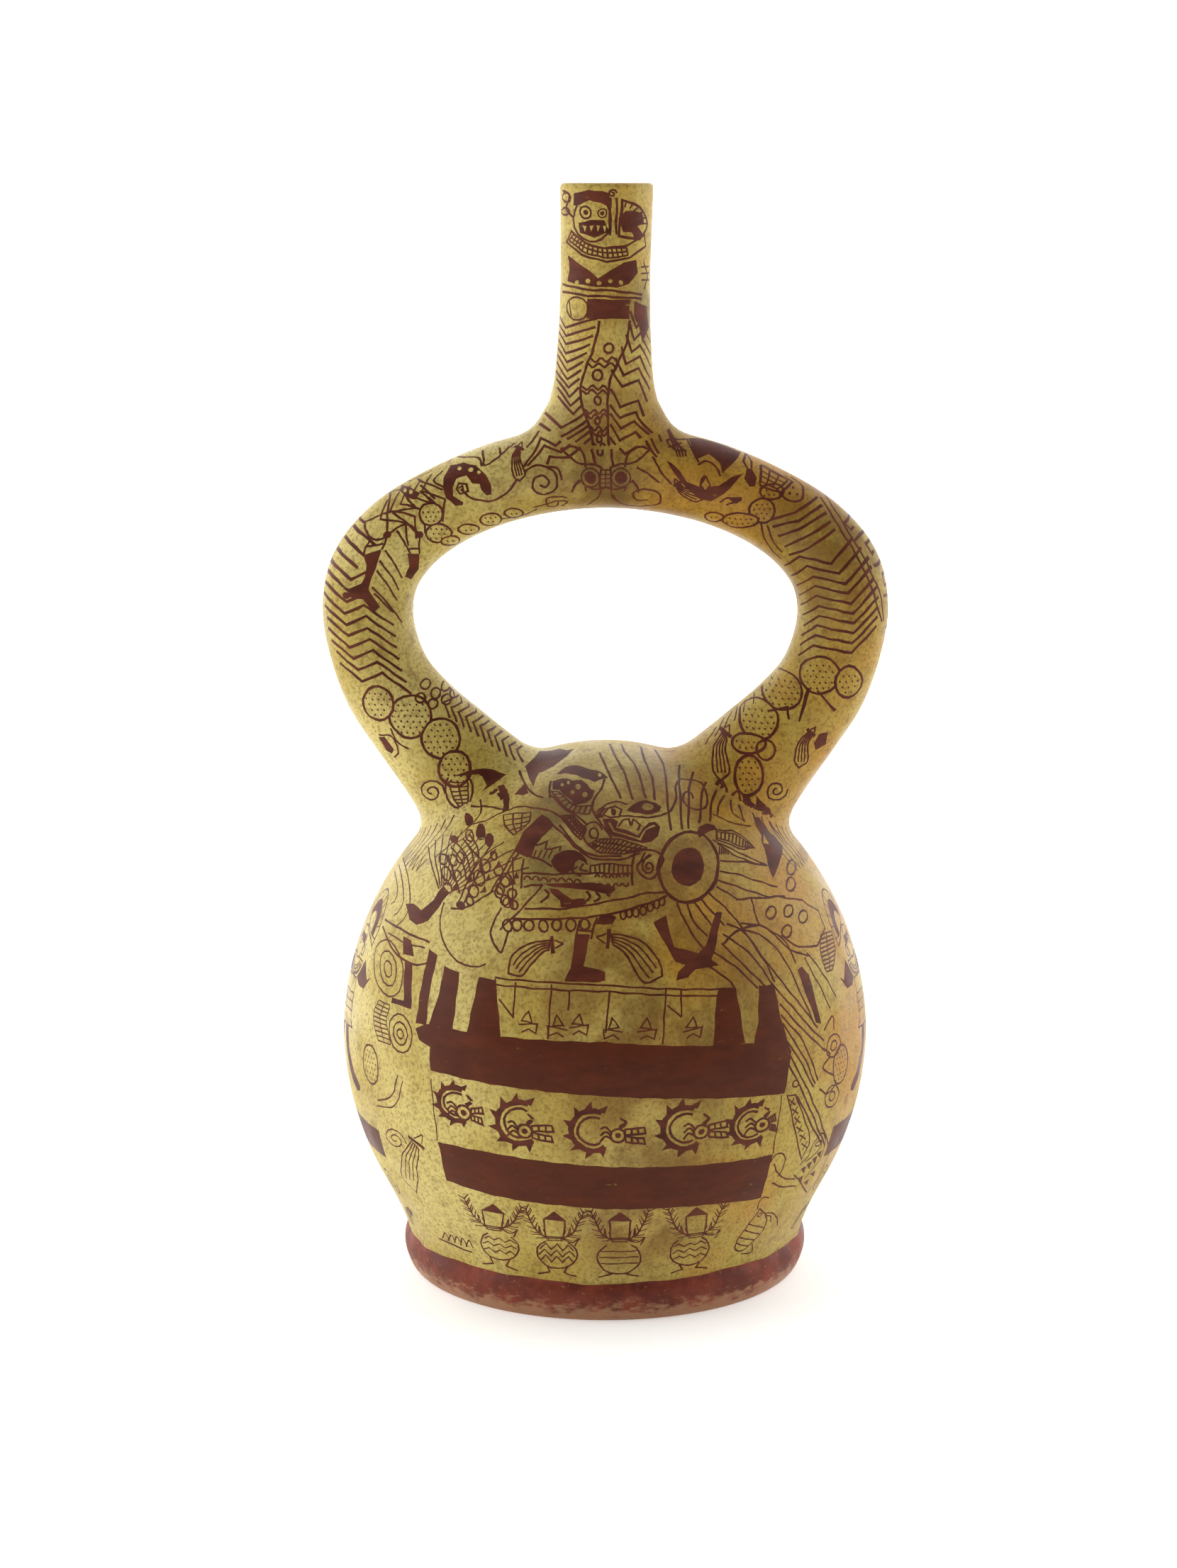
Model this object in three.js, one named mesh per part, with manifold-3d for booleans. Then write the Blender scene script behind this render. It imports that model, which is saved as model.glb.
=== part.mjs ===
// A stirrup spout bottle of painted earthenware, in millimetres, +Z up, standing on the floor at z = 0.
// An ovoid chamber stands on a low foot ring. Two hollow arms rise from its shoulders and meet in a broad
// loop, and one upright spout leaves the middle of the loop. Chamber, arms and spout are one empty space.
import * as THREE from "three";
import { mergeVertices } from "three/addons/utils/BufferGeometryUtils.js";
import Module from "manifold-3d";

// Chamber: an ovoid, as tall above its widest line as its shape would be below it.
const BODY_RADIUS = 73.2;
const BODY_HALF_HEIGHT = 81;
const BODY_WIDEST_Z = 67;
const BODY_WALL = 4.5;
// An ellipse has 2 and 0.5 here: the pot is a little leaner at its shoulders.
const BODY_BEND = 1.9;
const BODY_ROUNDNESS = 0.52;

// Foot ring, luted under the chamber, with a blunt ridge round it.
const FOOT_HEIGHT = 10.7;
const FOOT_NECK_RADIUS = 55.5;
const FOOT_RIDGE_RADIUS = 56.7;
const FOOT_SOLE_RADIUS = 54.9;
const FOOT_SOLE_WIDTH = 7.5;
const FOOT_RECESS = 5;
// The chamber wall stands steeper just above the ring, up to this height over it.
const FOOT_COVE = 17.3;
const COVE_BEND = 1.24;
const COVE_STEPS = 4;

// Stirrup: one tube from shoulder to shoulder. It lands on the shoulders at ARM_FOOT_X.
const STIRRUP_REACH = 65.2;
const STIRRUP_RISE = 76.3;
const ARM_FOOT_X = 33.7;
const TUBE_RADIUS = 12.4;
const TUBE_WALL = 3.8;
const SHOULDER_HOLE_RADIUS = 6.5;

// Spout: nearly straight, narrowest at its middle and leaning a little.
const SPOUT_RISE = 75.7;
const SPOUT_RADIUS = 12.1;
const SPOUT_RIM_RADIUS = 12.55;
const SPOUT_WALL = 3.6;
const SPOUT_LEAN = 1.1;
const SPOUT_BASE_SHIFT = -0.8;
const LIP_ROUND = 1.2;

// Fineness of the faceted solid.
const BODY_SIDES = 64;
const CHAMBER_SIDES = 40;
const TUBE_SIDES = 20;
const BORE_SIDES = 12;
const SPOUT_SIDES = 28;
const SPOUT_BORE_SIDES = 20;
const BODY_STEPS = 22;
const CHAMBER_STEPS = 14;
const STIRRUP_STEPS = 44;

const BODY_TOP_Z = BODY_WIDEST_Z + BODY_HALF_HEIGHT;
const ARCH_Z = BODY_TOP_Z + STIRRUP_RISE;
const RIM_Z = ARCH_Z + SPOUT_RISE;

const wasm = await Module();
wasm.setup();

function solidFrom(geometry) {
  const bare = geometry.index ? geometry.toNonIndexed() : geometry.clone();
  bare.deleteAttribute("normal");
  bare.deleteAttribute("uv");
  const merged = mergeVertices(bare, 1e-4);
  return new wasm.Manifold(
    new wasm.Mesh({
      numProp: 3,
      vertProperties: new Float32Array(merged.attributes.position.array),
      triVerts: new Uint32Array(merged.index.array),
    }),
  );
}

function geometryFrom(solid) {
  const { vertProperties, triVerts } = solid.getMesh();
  const geometry = new THREE.BufferGeometry();
  geometry.setAttribute("position", new THREE.BufferAttribute(vertProperties, 3));
  geometry.setIndex(new THREE.BufferAttribute(triVerts, 1));
  geometry.computeVertexNormals();
  return geometry;
}

// A solid turned about +Z from [radius, height] pairs that run up the outside, from axis to axis.
function turned(profile, sides) {
  const points = profile.map(([radius, height]) => new THREE.Vector2(radius, height));
  return solidFrom(new THREE.LatheGeometry(points, sides).rotateX(Math.PI / 2));
}

// A solid lofted through rings. Each ring has a centre, a unit side vector, and half-widths along that
// side and along Y. Rings run so that side x Y points forwards along the loft.
function lofted(rings, sides) {
  const positions = [];
  const index = [];
  for (const { centre, side, across, depth } of rings) {
    for (let i = 0; i < sides; i += 1) {
      const turn = (2 * Math.PI * i) / sides;
      const point = centre.clone().addScaledVector(side, across * Math.cos(turn));
      point.y += depth * Math.sin(turn);
      positions.push(point.x, point.y, point.z);
    }
  }
  for (let ring = 0; ring < rings.length - 1; ring += 1) {
    for (let i = 0; i < sides; i += 1) {
      const next = (i + 1) % sides;
      const [a, b] = [ring * sides + i, ring * sides + next];
      index.push(a, b, b + sides, a, b + sides, a + sides);
    }
  }
  const last = (rings.length - 1) * sides;
  for (let i = 1; i < sides - 1; i += 1) {
    index.push(0, i + 1, i);
    index.push(last, last + i, last + i + 1);
  }
  const geometry = new THREE.BufferGeometry();
  geometry.setAttribute("position", new THREE.Float32BufferAttribute(positions, 3));
  geometry.setIndex(index);
  return solidFrom(geometry);
}

// The chamber's outer radius at a height above or below its widest line.
function bodyRadius(fromWidest, inset = 0) {
  const share = Math.min(1, Math.abs(fromWidest) / (BODY_HALF_HEIGHT - inset));
  return (BODY_RADIUS - inset) * (1 - share ** BODY_BEND) ** BODY_ROUNDNESS;
}

// The height above the widest line where the chamber has a given outer radius.
function shoulderHeight(radius) {
  const share = (1 - (radius / BODY_RADIUS) ** (1 / BODY_ROUNDNESS)) ** (1 / BODY_BEND);
  return BODY_HALF_HEIGHT * share;
}

// The foot ring's outer face from sole to neck. Each line is [share of the ring's height, share of the
// way out to the ridge], from the sole's radius below the ridge and from the neck's radius above it.
const FOOT_FACE_BELOW = [
  [0.07, 0],
  [0.42, 0.82],
  [0.62, 1],
];
const FOOT_FACE_ABOVE = [
  [0.84, 0.69],
  [1, 0],
];
const SOLE_EDGE_ROUND = 0.75;
// The recess widens downwards by this share of its depth.
const RECESS_SLANT = 0.6;

function footProfile() {
  const inner = FOOT_SOLE_RADIUS - FOOT_SOLE_WIDTH;
  const face = (rows, from) =>
    rows.map(([rise, out]) => [THREE.MathUtils.lerp(from, FOOT_RIDGE_RADIUS, out), FOOT_HEIGHT * rise]);
  return [
    [0, FOOT_RECESS],
    [inner - FOOT_RECESS * RECESS_SLANT, FOOT_RECESS],
    [inner, 0],
    [FOOT_SOLE_RADIUS - SOLE_EDGE_ROUND, 0],
    ...face(FOOT_FACE_BELOW, FOOT_SOLE_RADIUS),
    ...face(FOOT_FACE_ABOVE, FOOT_NECK_RADIUS),
  ];
}

// Chamber wall and foot ring in one profile, from the recess under the base to the crown.
function bodyOutside() {
  const coveTop = FOOT_HEIGHT + FOOT_COVE;
  const coveRadius = bodyRadius(coveTop - BODY_WIDEST_Z);
  const profile = footProfile();
  for (let i = 1; i < COVE_STEPS; i += 1) {
    const t = i / COVE_STEPS;
    const radius = THREE.MathUtils.lerp(FOOT_NECK_RADIUS, coveRadius, t ** COVE_BEND);
    profile.push([radius, FOOT_HEIGHT + FOOT_COVE * t]);
  }
  const low = Math.asin((coveTop - BODY_WIDEST_Z) / BODY_HALF_HEIGHT);
  for (let i = 0; i <= BODY_STEPS; i += 1) {
    const rise = BODY_HALF_HEIGHT * Math.sin(THREE.MathUtils.lerp(low, Math.PI / 2, i / BODY_STEPS));
    profile.push([bodyRadius(rise), BODY_WIDEST_Z + rise]);
  }
  return turned(profile, BODY_SIDES);
}

// The empty chamber: the outer shape set in by the wall, with a flat floor over the recess.
function bodyInside() {
  const floor = FOOT_RECESS + BODY_WALL;
  const innerHeight = BODY_HALF_HEIGHT - BODY_WALL;
  const low = Math.asin(Math.max(-1, (floor - BODY_WIDEST_Z) / innerHeight));
  const profile = [[0, floor]];
  for (let i = 0; i <= CHAMBER_STEPS; i += 1) {
    const rise = innerHeight * Math.sin(THREE.MathUtils.lerp(low, Math.PI / 2, i / CHAMBER_STEPS));
    profile.push([bodyRadius(rise, BODY_WALL), BODY_WIDEST_Z + rise]);
  }
  return turned(profile, CHAMBER_SIDES);
}

// The tube's centreline from its left end, inside the shoulder, to the middle of the loop. Each line is
// [share of the reach, share of the rise from shoulder to loop, share of the tube's radius].
const ARM_LINE = [
  [0.672, 0.125, 1.24],
  [0.805, 0.232, 1.1],
  [0.91, 0.333, 1.03],
  [0.974, 0.449, 0.995],
  [1, 0.569, 1.005],
  [0.969, 0.682, 1.0],
  [0.859, 0.787, 0.945],
  [0.672, 0.879, 0.885],
  [0.3865, 0.961, 0.895],
  [0, 1, 0.92],
];
const FOOT_FLARE = 1.43;
const BURIED_FLARE = 1.4;
// How far the arm's end goes on below the shoulder's surface, inwards and down.
const BURIED = { in: 8.5, down: 9 };

// One curve whose x and z are the tube's centreline and whose y is its radius there.
function stirrupLine() {
  const footZ = BODY_WIDEST_Z + shoulderHeight(ARM_FOOT_X);
  const half = [
    [ARM_FOOT_X - BURIED.in, footZ - BURIED.down, BURIED_FLARE * TUBE_RADIUS],
    [ARM_FOOT_X, footZ, FOOT_FLARE * TUBE_RADIUS],
    ...ARM_LINE.map(([reach, rise, radius]) => [
      reach * STIRRUP_REACH,
      THREE.MathUtils.lerp(footZ, ARCH_Z, rise),
      radius * TUBE_RADIUS,
    ]),
  ];
  const left = half.map(([x, z, radius]) => new THREE.Vector3(-x, radius, z));
  const right = half.slice(0, -1).reverse();
  const line = [...left, ...right.map(([x, z, radius]) => new THREE.Vector3(x, radius, z))];
  return new THREE.CatmullRomCurve3(line, false, "centripetal");
}

// Rings of the tube, with the radius given by a function of its outer radius and place on the line.
function stirrupRings(radiusAt) {
  const line = stirrupLine();
  const rings = [];
  for (let i = 0; i <= STIRRUP_STEPS; i += 1) {
    const t = i / STIRRUP_STEPS;
    const here = line.getPointAt(t);
    const along = line.getTangentAt(t).setY(0).normalize();
    const radius = radiusAt(here.y, t);
    rings.push({
      centre: new THREE.Vector3(here.x, 0, here.z),
      side: new THREE.Vector3(along.z, 0, -along.x),
      across: radius,
      depth: radius,
    });
  }
  return rings;
}

const stirrupOutside = () => lofted(stirrupRings((radius) => radius), TUBE_SIDES);

// Shares of the line, from either end, between which the bore opens from the shoulder's hole.
const BORE_OPENS = [0.068, 0.17];

function stirrupInside() {
  const bore = (radius, t) => {
    const open = THREE.MathUtils.smoothstep(Math.min(t, 1 - t), ...BORE_OPENS);
    return THREE.MathUtils.lerp(SHOULDER_HOLE_RADIUS, radius - TUBE_WALL, open);
  };
  return lofted(stirrupRings(bore), BORE_SIDES);
}

// The spout's foot, where it flares into the loop along X and narrows along Y into the tube's sides. Each
// line is [height over the tube's top, extra half-width along X, share of the spout's half-width along Y].
const SPOUT_FLARE = [
  [-8.5, 11.5, 0.905],
  [-3, 9.6, 0.935],
  [-0.8, 6.4, 0.945],
  [1.6, 4.2, 0.955],
  [5.4, 2.9, 0.97],
  [9.3, 1.9, 0.985],
  [13.1, 1.35, 0.995],
  [20.7, 0.7, 1],
  [28.3, 0.25, 1],
];
// Its straight part and its rim: [share of the rise below the rim, share of the growth to the rim].
const SPOUT_GROWTH = [
  [0.32, 0],
  [0.14, 0.4],
];
const LIP_CORNER = 0.3;
// The bore is narrower by this much where it opens into the loop.
const BORE_THROAT = 1;
const BORE_STRAIGHT_FROM = 0.6;

function spoutRing(z, across, depth = across) {
  const rise = (z - ARCH_Z) / SPOUT_RISE;
  return {
    centre: new THREE.Vector3(SPOUT_BASE_SHIFT + SPOUT_LEAN * rise, 0, z),
    side: new THREE.Vector3(1, 0, 0),
    across,
    depth,
  };
}

function spoutOutside() {
  const collar = ARCH_Z + ARM_LINE.at(-1)[2] * TUBE_RADIUS;
  const growth = SPOUT_RIM_RADIUS - SPOUT_RADIUS;
  const corner = LIP_ROUND * LIP_CORNER;
  return lofted(
    [
      ...SPOUT_FLARE.map(([rise, extra, depth]) =>
        spoutRing(collar + rise, SPOUT_RADIUS + extra, SPOUT_RADIUS * depth),
      ),
      ...SPOUT_GROWTH.map(([below, share]) =>
        spoutRing(RIM_Z - SPOUT_RISE * below, SPOUT_RADIUS + growth * share),
      ),
      spoutRing(RIM_Z - LIP_ROUND, SPOUT_RIM_RADIUS),
      spoutRing(RIM_Z - corner, SPOUT_RIM_RADIUS - corner),
      spoutRing(RIM_Z, SPOUT_RIM_RADIUS - LIP_ROUND),
    ],
    SPOUT_SIDES,
  );
}

// The spout's bore, from the middle of the tube to past the rim.
function spoutInside() {
  const bore = SPOUT_RADIUS - SPOUT_WALL;
  return lofted(
    [
      spoutRing(ARCH_Z, bore - BORE_THROAT),
      spoutRing(RIM_Z - SPOUT_RISE * BORE_STRAIGHT_FROM, bore),
      spoutRing(RIM_Z - LIP_ROUND * 2, bore),
      spoutRing(RIM_Z + LIP_ROUND, bore + LIP_ROUND),
    ],
    SPOUT_BORE_SIDES,
  );
}

// The fired piece: everything luted together, less the one empty space inside it.
function vessel() {
  const outside = bodyOutside().add(stirrupOutside()).add(spoutOutside());
  const inside = bodyInside().add(stirrupInside()).add(spoutInside());
  const slip = new THREE.MeshStandardMaterial({ color: 0xb9a366, roughness: 0.5, metalness: 0 });
  const mesh = new THREE.Mesh(geometryFrom(outside.subtract(inside)), slip);
  mesh.name = "vessel";
  return mesh;
}

const bottle = new THREE.Group();
bottle.name = "stirrup_spout_bottle";
bottle.add(vessel());

export default bottle;
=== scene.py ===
# A painted earthenware stirrup spout bottle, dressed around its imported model. Its form and its painting are
# worked out in millimetres, +Z up, with the front towards -Y, and turned into metres when the mesh is made.
import math

import bmesh
import bpy
import numpy as np
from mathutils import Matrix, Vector
from mathutils.geometry import delaunay_2d_cdt


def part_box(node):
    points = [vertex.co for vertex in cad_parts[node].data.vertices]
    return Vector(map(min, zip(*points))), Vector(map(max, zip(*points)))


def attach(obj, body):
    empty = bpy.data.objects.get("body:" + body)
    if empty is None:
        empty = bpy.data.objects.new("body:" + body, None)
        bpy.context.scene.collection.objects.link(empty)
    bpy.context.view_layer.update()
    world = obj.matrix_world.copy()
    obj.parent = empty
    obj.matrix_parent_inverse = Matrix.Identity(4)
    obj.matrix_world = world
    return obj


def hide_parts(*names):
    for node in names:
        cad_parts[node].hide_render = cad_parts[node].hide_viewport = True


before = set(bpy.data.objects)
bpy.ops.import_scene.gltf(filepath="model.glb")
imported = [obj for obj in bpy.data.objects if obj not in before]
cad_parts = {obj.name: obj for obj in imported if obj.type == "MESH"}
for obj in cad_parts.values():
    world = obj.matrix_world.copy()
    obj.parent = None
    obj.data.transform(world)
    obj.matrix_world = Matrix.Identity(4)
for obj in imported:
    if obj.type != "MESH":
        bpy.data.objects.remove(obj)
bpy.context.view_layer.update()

# The chamber: a hollow ovoid of fired clay on a low foot ring, pressed in moulds and scraped smooth, with
# walls of about 4.5 mm. Its outline runs up from the edge of the sole to the crown.
MM = 0.001
RIM_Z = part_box("vessel")[1][2] / MM
LOOP_HALF_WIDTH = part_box("vessel")[1][0] / MM
WALL = 4.5
BELLY_RADIUS = 73.2
BELLY_Z = 67.0
BELLY_HALF_HEIGHT = 81.0
BELLY_BEND = 1.9
BELLY_ROUNDNESS = 0.52
FOOT_HEIGHT = 10.7
FOOT_NECK = 55.5
COVE_HEIGHT = 17.3
COVE_BEND = 1.24
FOOT_FACE = [(54.15, 0.0), (54.9, 0.75), (56.3, 4.0), (56.7, 6.6), (56.35, 9.0), (55.75, 10.2), (55.35, 10.9)]
SOLE_INNER = 47.4
RECESS = (44.4, 5.0)
LINE_STEP = 0.25


def belly_radius(height, inset=0.0):
    share = np.minimum(1.0, np.abs(height - BELLY_Z) / (BELLY_HALF_HEIGHT - inset))
    return (BELLY_RADIUS - inset) * (1.0 - share**BELLY_BEND) ** BELLY_ROUNDNESS


def wall_line(lowest, inset=0.0, steps=500):
    """Radius and height up the wall from a height to the crown, with closer points at the crown."""
    half = BELLY_HALF_HEIGHT - inset
    turn = np.linspace(math.asin((lowest - BELLY_Z) / half), math.pi / 2, steps)
    height = BELLY_Z + half * np.sin(turn)
    return np.column_stack([belly_radius(height, inset), height])


def smooth_line(points, steps=24):
    """A smooth curve through points, as a centripetal Catmull-Rom spline."""
    points = np.asarray(points, float)
    points = np.vstack([2 * points[0] - points[1], points, 2 * points[-1] - points[-2]])
    gap = np.linalg.norm(np.diff(points, axis=0), axis=1) ** 0.5
    t = np.linspace(0.0, 1.0, steps, endpoint=False)[:, None]
    pieces = []
    for i in range(1, len(points) - 2):
        a, b, c, d = points[i - 1 : i + 3]
        before, here, after = gap[i - 1 : i + 2]
        leave = ((b - a) / before - (c - a) / (before + here)) * here + c - b
        arrive = ((d - c) / after - (d - b) / (here + after)) * here + c - b
        bend = 3 * (c - b) - 2 * leave - arrive
        sway = leave + arrive - 2 * (c - b)
        pieces.append(b + t * leave + t**2 * bend + t**3 * sway)
    return np.vstack([*pieces, points[-2]])


def even_line(line, step=LINE_STEP):
    """The line again with its points evenly spaced in its first two columns, and the length at each point."""
    length = np.concatenate([[0.0], np.cumsum(np.hypot(*np.diff(line[:, :2], axis=0).T))])
    along = np.linspace(0.0, length[-1], int(length[-1] / step) + 2)
    return np.column_stack([np.interp(along, length, column) for column in line.T]), along


def nearest(line, points):
    """For each 2-D point, the index of the nearest point of the line."""
    return np.concatenate([
        np.argmin(((part[:, None, :] - line[None, :, :]) ** 2).sum(axis=2), axis=1)
        for part in np.array_split(points, len(points) // 2000 + 1)
    ])


def unit(vectors):
    return vectors / np.linalg.norm(vectors, axis=-1, keepdims=True)


class Chamber:
    """A turned wall. Its flat sheet is the wall opened out round the crown, so that angles stay true."""

    lowest = 0.0

    def __init__(self, line):
        self.line, self.along = even_line(np.asarray(line, float))
        self.tangent = unit(np.gradient(self.line, axis=0))
        self.facing = np.column_stack([self.tangent[:, 1], -self.tangent[:, 0]])
        middle = (self.line[1:, 0] + self.line[:-1, 0]) / 2
        closing = np.cumsum(np.diff(self.along) / middle)
        self.spread = self.line[0, 0] * np.exp(-np.concatenate([[0.0], closing]))
        self.spread[-1] = 0.0

    def flat(self, azimuth, along):
        spread = np.interp(along, self.along, self.spread)
        return np.column_stack([spread * np.cos(azimuth), spread * np.sin(azimuth)])

    def turned(self, flat):
        """Azimuth and length along the wall of places on the flat sheet."""
        spread = np.hypot(*flat.T)
        return np.arctan2(flat[:, 1], flat[:, 0]), np.interp(spread, self.spread[::-1], self.along[::-1])

    def place(self, flat):
        azimuth, along = self.turned(flat)
        radius, height, out, up = [
            np.interp(along, self.along, column) for column in (*self.line.T, *self.facing.T)
        ]
        ahead = np.column_stack([np.cos(azimuth), np.sin(azimuth)])
        normal = unit(np.column_stack([out[:, None] * ahead, up]))
        return np.column_stack([radius[:, None] * ahead, height]), normal, normal

    def spot(self, points):
        azimuth = np.arctan2(points[:, 1], points[:, 0])
        section = np.column_stack([np.hypot(points[:, 0], points[:, 1]), points[:, 2]])
        i = nearest(self.line, section)
        along = self.along[i] + ((section - self.line[i]) * self.tangent[i]).sum(axis=1)
        return self.flat(azimuth, along)

    def scale(self, flat):
        """Millimetres of sheet to one millimetre of wall."""
        along = self.turned(flat)[1]
        spread, radius = [
            np.interp(along, self.along[:-4], column[:-4]) for column in (self.spread, self.line[:, 0])
        ]
        return spread / radius


cove_top = FOOT_HEIGHT + COVE_HEIGHT
cove_rise = np.linspace(0.06, 1.0, 60)
cove = np.column_stack([
    FOOT_NECK + (belly_radius(cove_top) - FOOT_NECK) * cove_rise**COVE_BEND,
    FOOT_HEIGHT + COVE_HEIGHT * cove_rise,
])
chamber = Chamber(np.vstack([smooth_line(FOOT_FACE)[:-1], cove, wall_line(cove_top)[1:]]))
CHAMBER_FLOOR = RECESS[1] + WALL
hollow = Chamber(wall_line(CHAMBER_FLOOR, WALL))

# The stirrup: one hollow tube rolled from a sheet of clay, luted to the shoulders at both ends. Each line
# of the arm is a share of the loop's reach, a share of its rise, and a share of the tube's radius.
TUBE_RADIUS = 12.4
TUBE_WALL = 3.8
LOOP_TOP_Z = 224.3
LOOP_REACH = LOOP_HALF_WIDTH - TUBE_RADIUS
ARM_FOOT_X = 33.7
ARM_FOOT_Z = 133.7
ARM_LINE = [
    (0.672, 0.125, 1.24), (0.805, 0.232, 1.1), (0.91, 0.333, 1.03), (0.974, 0.449, 0.995),
    (1.0, 0.569, 1.005), (0.969, 0.682, 1.0), (0.859, 0.787, 0.945), (0.672, 0.879, 0.885),
    (0.3865, 0.961, 0.895), (0.0, 1.0, 0.92),
]
ARM_FOOT_FLARE = 1.43
ARM_BURIED = (8.5, 9.0, 1.4)
SHOULDER_HOLE = 6.5
HOLE_LENGTH = 22.0
HOLE_WIDENS_OVER = 30.0


def stirrup_line(radius_of):
    """Across, height and radius of the tube from its buried left end to its buried right end."""
    half = [
        (ARM_FOOT_X - ARM_BURIED[0], ARM_FOOT_Z - ARM_BURIED[1], ARM_BURIED[2]),
        (ARM_FOOT_X, ARM_FOOT_Z, ARM_FOOT_FLARE),
        *[
            (reach * LOOP_REACH, ARM_FOOT_Z + rise * (LOOP_TOP_Z - ARM_FOOT_Z), share)
            for reach, rise, share in ARM_LINE
        ],
    ]
    whole = [(-x, z, share * TUBE_RADIUS) for x, z, share in half]
    whole += [(-x, z, radius) for x, z, radius in whole[-2::-1]]
    line, along = even_line(smooth_line(whole))
    from_end = np.minimum(along, along[-1] - along)
    return np.column_stack([line[:, :2], radius_of(line[:, 2], from_end)])


class Stirrup:
    """The bent tube. Its flat sheet runs along it and round it, cut open on the side of the hand hole."""

    lowest = 0.0

    def __init__(self, line):
        self.line, self.along = even_line(line)
        self.tangent = unit(np.gradient(self.line[:, :2], axis=0))
        self.outward = np.column_stack([-self.tangent[:, 1], self.tangent[:, 0]])
        self.growth = np.gradient(self.line[:, 2], self.along)

    def flat(self, along, turn):
        return np.column_stack([along, turn * TUBE_RADIUS])

    def place(self, flat):
        along, turn = flat[:, 0], flat[:, 1] / TUBE_RADIUS
        x, z, radius, out_x, out_z, growth = [
            np.interp(along, self.along, column) for column in (*self.line.T, *self.outward.T, self.growth)
        ]
        ahead = np.column_stack([np.cos(turn) * out_x, -np.sin(turn), np.cos(turn) * out_z])
        forward = np.column_stack([out_z, np.zeros(len(out_z)), -out_x])
        centre = np.column_stack([x, np.zeros(len(x)), z])
        return centre + radius[:, None] * ahead, ahead, unit(ahead - growth[:, None] * forward)

    def spot(self, points):
        section = points[:, [0, 2]]
        i = nearest(self.line[:, :2], section)
        from_line = section - self.line[i, :2]
        along = self.along[i] + (from_line * self.tangent[i]).sum(axis=1)
        turn = np.arctan2(-points[:, 1], (from_line * self.outward[i]).sum(axis=1))
        return self.flat(along, turn)

    def scale(self, flat):
        return np.full(len(flat), 1.0)


def bore_radius(radius, from_end):
    opening = np.clip((from_end - HOLE_LENGTH) / HOLE_WIDENS_OVER, 0.0, 1.0)
    opening = opening**2 * (3 - 2 * opening)
    return SHOULDER_HOLE + (radius - TUBE_WALL - SHOULDER_HOLE) * opening


stirrup = Stirrup(stirrup_line(lambda radius, from_end: radius))
bore = Stirrup(stirrup_line(bore_radius))

# The spout: a straight tube, hardly tapered, luted on the middle of the loop and smoothed into it. It leans
# to the right by about a millimetre, flares at its foot, and its lip is rounded. Its foot is given as heights
# above the loop and its half widths there, and its foot's depth as heights above the loop's middle line.
SPOUT_RADIUS = 12.1
SPOUT_RIM_RADIUS = 12.55
SPOUT_WALL = 3.6
SPOUT_SHIFT = (-0.8, 1.1)
LIP_ROUND = 1.2
SPOUT_FOOT = [
    (-12, 18), (0, 16.6), (3, 16.2), (5.4, 15.1), (9.3, 14), (13.1, 13.4), (20.7, 12.8), (28.3, 12.35),
    (40, 12.1),
]
SPOUT_FOOT_DEPTH = [(0, 8.6), (10, 11), (20, 11.8), (34, 12.15)]
FLARE_DROP = 11.0
FLARE_RADIUS = 12.35
THROAT_OPENS_OVER = 30.0
THROAT_PINCH = 1.0


class Spout:
    """The upright tube. Its flat sheet is unrolled from a cut up its back."""

    lowest = LOOP_TOP_Z

    def __init__(self, heights, across, depth):
        self.heights, self.across, self.depth = heights, across, depth

    def flat(self, turn, height):
        return np.column_stack([turn * SPOUT_RADIUS, height])

    def axis(self, height):
        return SPOUT_SHIFT[0] + SPOUT_SHIFT[1] * (height - LOOP_TOP_Z) / (RIM_Z - LOOP_TOP_Z)

    def ring(self, flat):
        turn, height = flat[:, 0] / SPOUT_RADIUS, flat[:, 1]
        ahead = np.column_stack([np.sin(turn), -np.cos(turn), np.zeros(len(turn))])
        across, depth = [np.interp(height, self.heights, widths) for widths in (self.across, self.depth)]
        radius = 1.0 / np.hypot(ahead[:, 0] / across, ahead[:, 1] / depth)
        middle = np.column_stack([self.axis(height), np.zeros(len(turn)), height])
        return middle + radius[:, None] * ahead, ahead

    def place(self, flat):
        base, ahead = self.ring(flat)
        little = 0.05
        round_it = self.ring(flat + (little, 0.0))[0] - self.ring(flat - (little, 0.0))[0]
        up_it = self.ring(flat + (0.0, little))[0] - self.ring(flat - (0.0, little))[0]
        return base, ahead, unit(np.cross(round_it, up_it))

    def spot(self, points):
        return self.flat(np.arctan2(points[:, 0] - self.axis(points[:, 2]), -points[:, 1]), points[:, 2])

    def scale(self, flat):
        return np.full(len(flat), 1.0)


loop_crown = LOOP_TOP_Z + TUBE_RADIUS * ARM_LINE[-1][2]
foot_line = smooth_line([(loop_crown + rise, radius) for rise, radius in SPOUT_FOOT])
flare_z = [RIM_Z - FLARE_DROP, RIM_Z - LIP_ROUND]
flare_radius = [FLARE_RADIUS, SPOUT_RIM_RADIUS]
spout_z = np.concatenate([foot_line[:, 0], flare_z, [RIM_Z]])
spout_across = np.concatenate([foot_line[:, 1], flare_radius, [SPOUT_RIM_RADIUS]])
depth_z = [*[LOOP_TOP_Z + rise for rise, _ in SPOUT_FOOT_DEPTH], *flare_z]
depth_radius = [*[radius for _, radius in SPOUT_FOOT_DEPTH], *flare_radius]
spout = Spout(spout_z, spout_across, np.interp(spout_z, depth_z, depth_radius))
throat_z = np.array([LOOP_TOP_Z, LOOP_TOP_Z + THROAT_OPENS_OVER, RIM_Z])
throat_radius = SPOUT_RADIUS - SPOUT_WALL - np.array([THROAT_PINCH, 0.0, 0.0])
throat = Spout(throat_z, throat_radius, throat_radius)

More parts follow.
